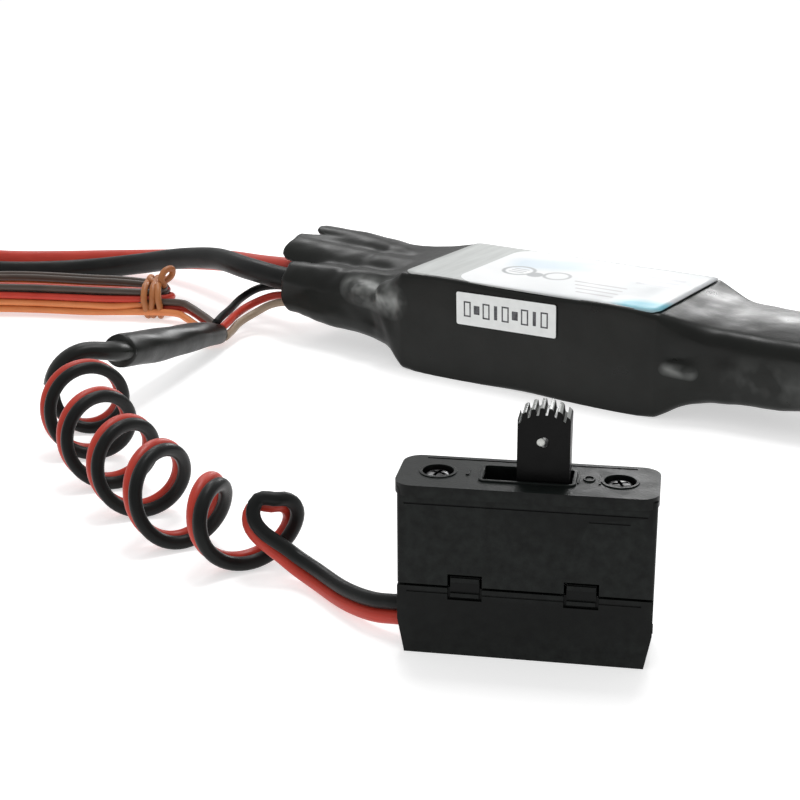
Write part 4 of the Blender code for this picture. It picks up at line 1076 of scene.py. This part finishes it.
def make_cover():
    """The lower cover with its tapered ends, four clips, cable slot and a moulding nub at one end."""
    half, wide = BOX_BODY[0] / 2, BOX_BODY[1] / 2
    outline = [(BOX_SHIFT + x, z) for x, z in ((half - 0.8, 0.0), (half, 4.2), (half, PARTING[0]),
                                               (-half, PARTING[0]), (-half, 4.2), (0.8 - half, 0.0))]
    cover = recalculate(joined("switch_cover_shell", [boxed(slab(outline, -wide, wide))], "switch_plastic"))
    holes = [brick((BOX_BODY[0] - 3.6, BOX_BODY[1] - 2.0, 9.0), (0.0, 0.0, 5.5)),
             brick((4.0, 2.4, 5.0), (-half, -0.4, 3.4)),
             brick((27.0, 0.22, 0.20), (0.0, -wide, 7.9)), brick((27.0, 0.22, 0.20), (0.0, wide, 7.9))]
    clips = []
    for x, face in ((x, face) for x in (-CLIP_X, CLIP_X) for face in (-1, 1)):
        holes.append(brick((4.0, 0.8, 2.9), (x, face * wide, 8.55)))
        clips += [brick((3.4, 0.9, 2.6), (x, face * (wide - 0.65), 8.7)),
                  brick((3.3, 0.34, 0.55), (x, face * (wide - 0.14), 9.62)),
                  brick((3.3, 0.34, 0.50), (x, face * (wide - 0.14), 7.72))]
    cut(cover, holes)
    cut(cover, clips + [brick((0.5, 1.2, 0.7), (half - 0.05, -1.6, 3.9))], "UNION")
    finish(cover, 0.14, "switch_plastic", "switch_cover")


def make_lever():
    """The slide lever: a flat stem with a rounded, ribbed thumb top and a small cross hole, with a white dome in
    the hole that paints a glint.
    """
    half, shoulder, crown, ribs = 3.0, 29.0, 1.3, 6
    radius = (half ** 2 + crown ** 2) / (2 * crown)
    outline = [(-half, 16.0), (half, 16.0)]
    for rib in range(ribs):
        for share, depth in ((0.0, 0.12), (0.14, 0.0), (0.48, 0.0), (0.60, 0.85), (0.88, 0.85)):
            x = half - (rib + share) * 2 * half / ribs
            outline.append((x, shoulder + crown - radius + math.sqrt(radius ** 2 - x ** 2) - depth))
    outline.append((-half, shoulder - 0.2))
    stem = slab([(x + LEVER_REST, z) for x, z in outline], -1.8, 1.8)
    lever = recalculate(joined("switch_lever_stem", [boxed(stem)], "lever_plastic"))
    cut(lever, [brick((8.4, 4.4, 2.4), (LEVER_REST, 0.0, 16.0))], "UNION")
    cut(lever, [boxed(slab(circle(0.6, 20, LEVER_REST, LEVER_HOLE_Z), -3.0, 3.0))])
    finish(lever, 0.12, "switch_plastic", "switch_lever", body="slider")
    # the up-facing faces of the ribbed top get painted highlights
    repaint(lever, "lever_crown_painted_highlight", 27.6)
    # a white dome in the front of the cross hole: a painted glint
    dome = [(math.cos(math.pi * k / 10), -1.68 - 0.28 * math.sin(math.pi * k / 10)) for k in range(6)]
    pin = skin([[(x, y, z) for x, z in circle(0.5 * r, 20, LEVER_REST - 0.35, LEVER_HOLE_Z)]
                for r, y in dome], (0,))
    dot = joined("switch_lever_pin", [boxed(pin)], "white_painted_glint", True)
    keep(recalculate(dot, True), "switch_plastic", body="slider")


def make_flange_screws():
    """Two pan-head screws that lie in the recesses of the flange."""
    for number, x in enumerate((-SCREW_X, SCREW_X), 1):
        shape = skin([[(a, b, z) for a, b in circle(r, 32, x)] for r, z in SCREW], ())
        screw = joined("flange_screw_head_%d" % number, [boxed(shape)], "dark_steel")
        turn = math.radians(28.0 + 40.0 * number)
        cut(recalculate(screw, True), [boxed(box((1.9, 0.42, 1.0), (x, 0.0, 21.2), angle))
                                       for angle in (turn, turn + math.pi / 2)])
        finish(screw, 0.04, "dark_steel", "flange_screw_%d" % number)


CAD_FINISH = {
    "header": "component", "board": "circuit_board", "mosfet": "component", "microcontroller": "component",
    "regulator": "component", "capacitor": "capacitor", "tab": "tinned", "pad_": "tinned",
    "thermal": "thermal_pad", "heat_sink": "aluminium", "switch_frame": "steel", "switch_base": "phenolic",
    "terminal": "tinned", "moving_contact": "copper",
}


def finish_cad_nodes():
    """Give every CAD node that is still shown a procedural material in place of its plain one."""
    stood_for = {name for obj in bpy.data.objects if "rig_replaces" in obj for name in obj["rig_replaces"]}
    for name in frame["nodes"]:
        if name in stood_for:
            continue
        finish_name = next((CAD_FINISH[part] for part in CAD_FINISH if part in name), "component")
        node = bpy.data.objects[name]
        for obj in [node] if node.type == "MESH" else [c for c in node.children_recursive if c.type == "MESH"]:
            for place in obj.material_slots:
                place.link = "OBJECT"
                place.material = MATERIALS[finish_name]


# ---------------------------------------------------------------- build
make_camera()
battery = make_plain_cords("battery_cord_", "battery_lead_", BATTERY_ROUTES, 4.4, 1.5, 24)
harness = make_plain_cords("harness_cord_", "harness_wire_", HARNESS_ROUTES, 1.5, 0.8, 14)
coil = coil_line()
junction = make_junction(coil)
switch_cords = make_switch_cords(coil)
receiver = make_receiver_cords()
battery_plug = make_battery_plug()
servo_plug = make_servo_plug()
tie = make_tie()
make_sleeve()
make_label()
make_sticker()
make_housing()
make_cover()
make_lever()
make_flange_screws()
finish_cad_nodes()


# ---------------------------------------------------------------- stage
LIGHTS = (
    ("overhead", (-0.05, 0.10, 0.55), (0.0, -0.04, 0.0), (0.18, 0.18), 1.4),
    ("back_window", (-0.19, 0.62, 0.245), (0.045, 0.0, 0.016), (0.22, 0.15), 0.95),
    ("left_window", (-0.36, 0.29, 0.40), (-0.03, -0.05, 0.01), (0.20, 0.20), 0.6),
)


def make_stage():
    """A bright floor, an even surround and three window-like lights."""
    surface = Surface("floor", 0.85, specular=0.1)
    surface.set("Base Color", (0.72, 0.72, 0.72))
    surface.set("Emission Color", (1.0, 1.0, 1.0))
    surface.set("Emission Strength", 0.55)
    mesh_object("floor", box((6000.0, 6000.0, 1.0), (0.0, 0.0, -0.5)), surface.material, False)
    scene = bpy.context.scene
    scene.world = bpy.data.worlds.new("studio")
    scene.world.use_nodes = True
    background = scene.world.node_tree.nodes["Background"]
    background.inputs["Color"].default_value = (1.0, 1.0, 1.0, 1.0)
    background.inputs["Strength"].default_value = 0.58
    scene.view_settings.view_transform = "Standard"
    for name, place, aim, size, power in LIGHTS:
        data = bpy.data.lights.new(name, "AREA")
        data.shape = "RECTANGLE"
        data.size, data.size_y = size
        data.energy = power
        light = bpy.data.objects.new(name, data)
        scene.collection.objects.link(light)
        light.location = place
        light.rotation_euler = (Vector(aim) - Vector(place)).to_track_quat("-Z", "Y").to_euler()


make_stage()


def corners(box):
    return [[float(c) for c in corner] for corner in box]


bpy.context.view_layer.update()
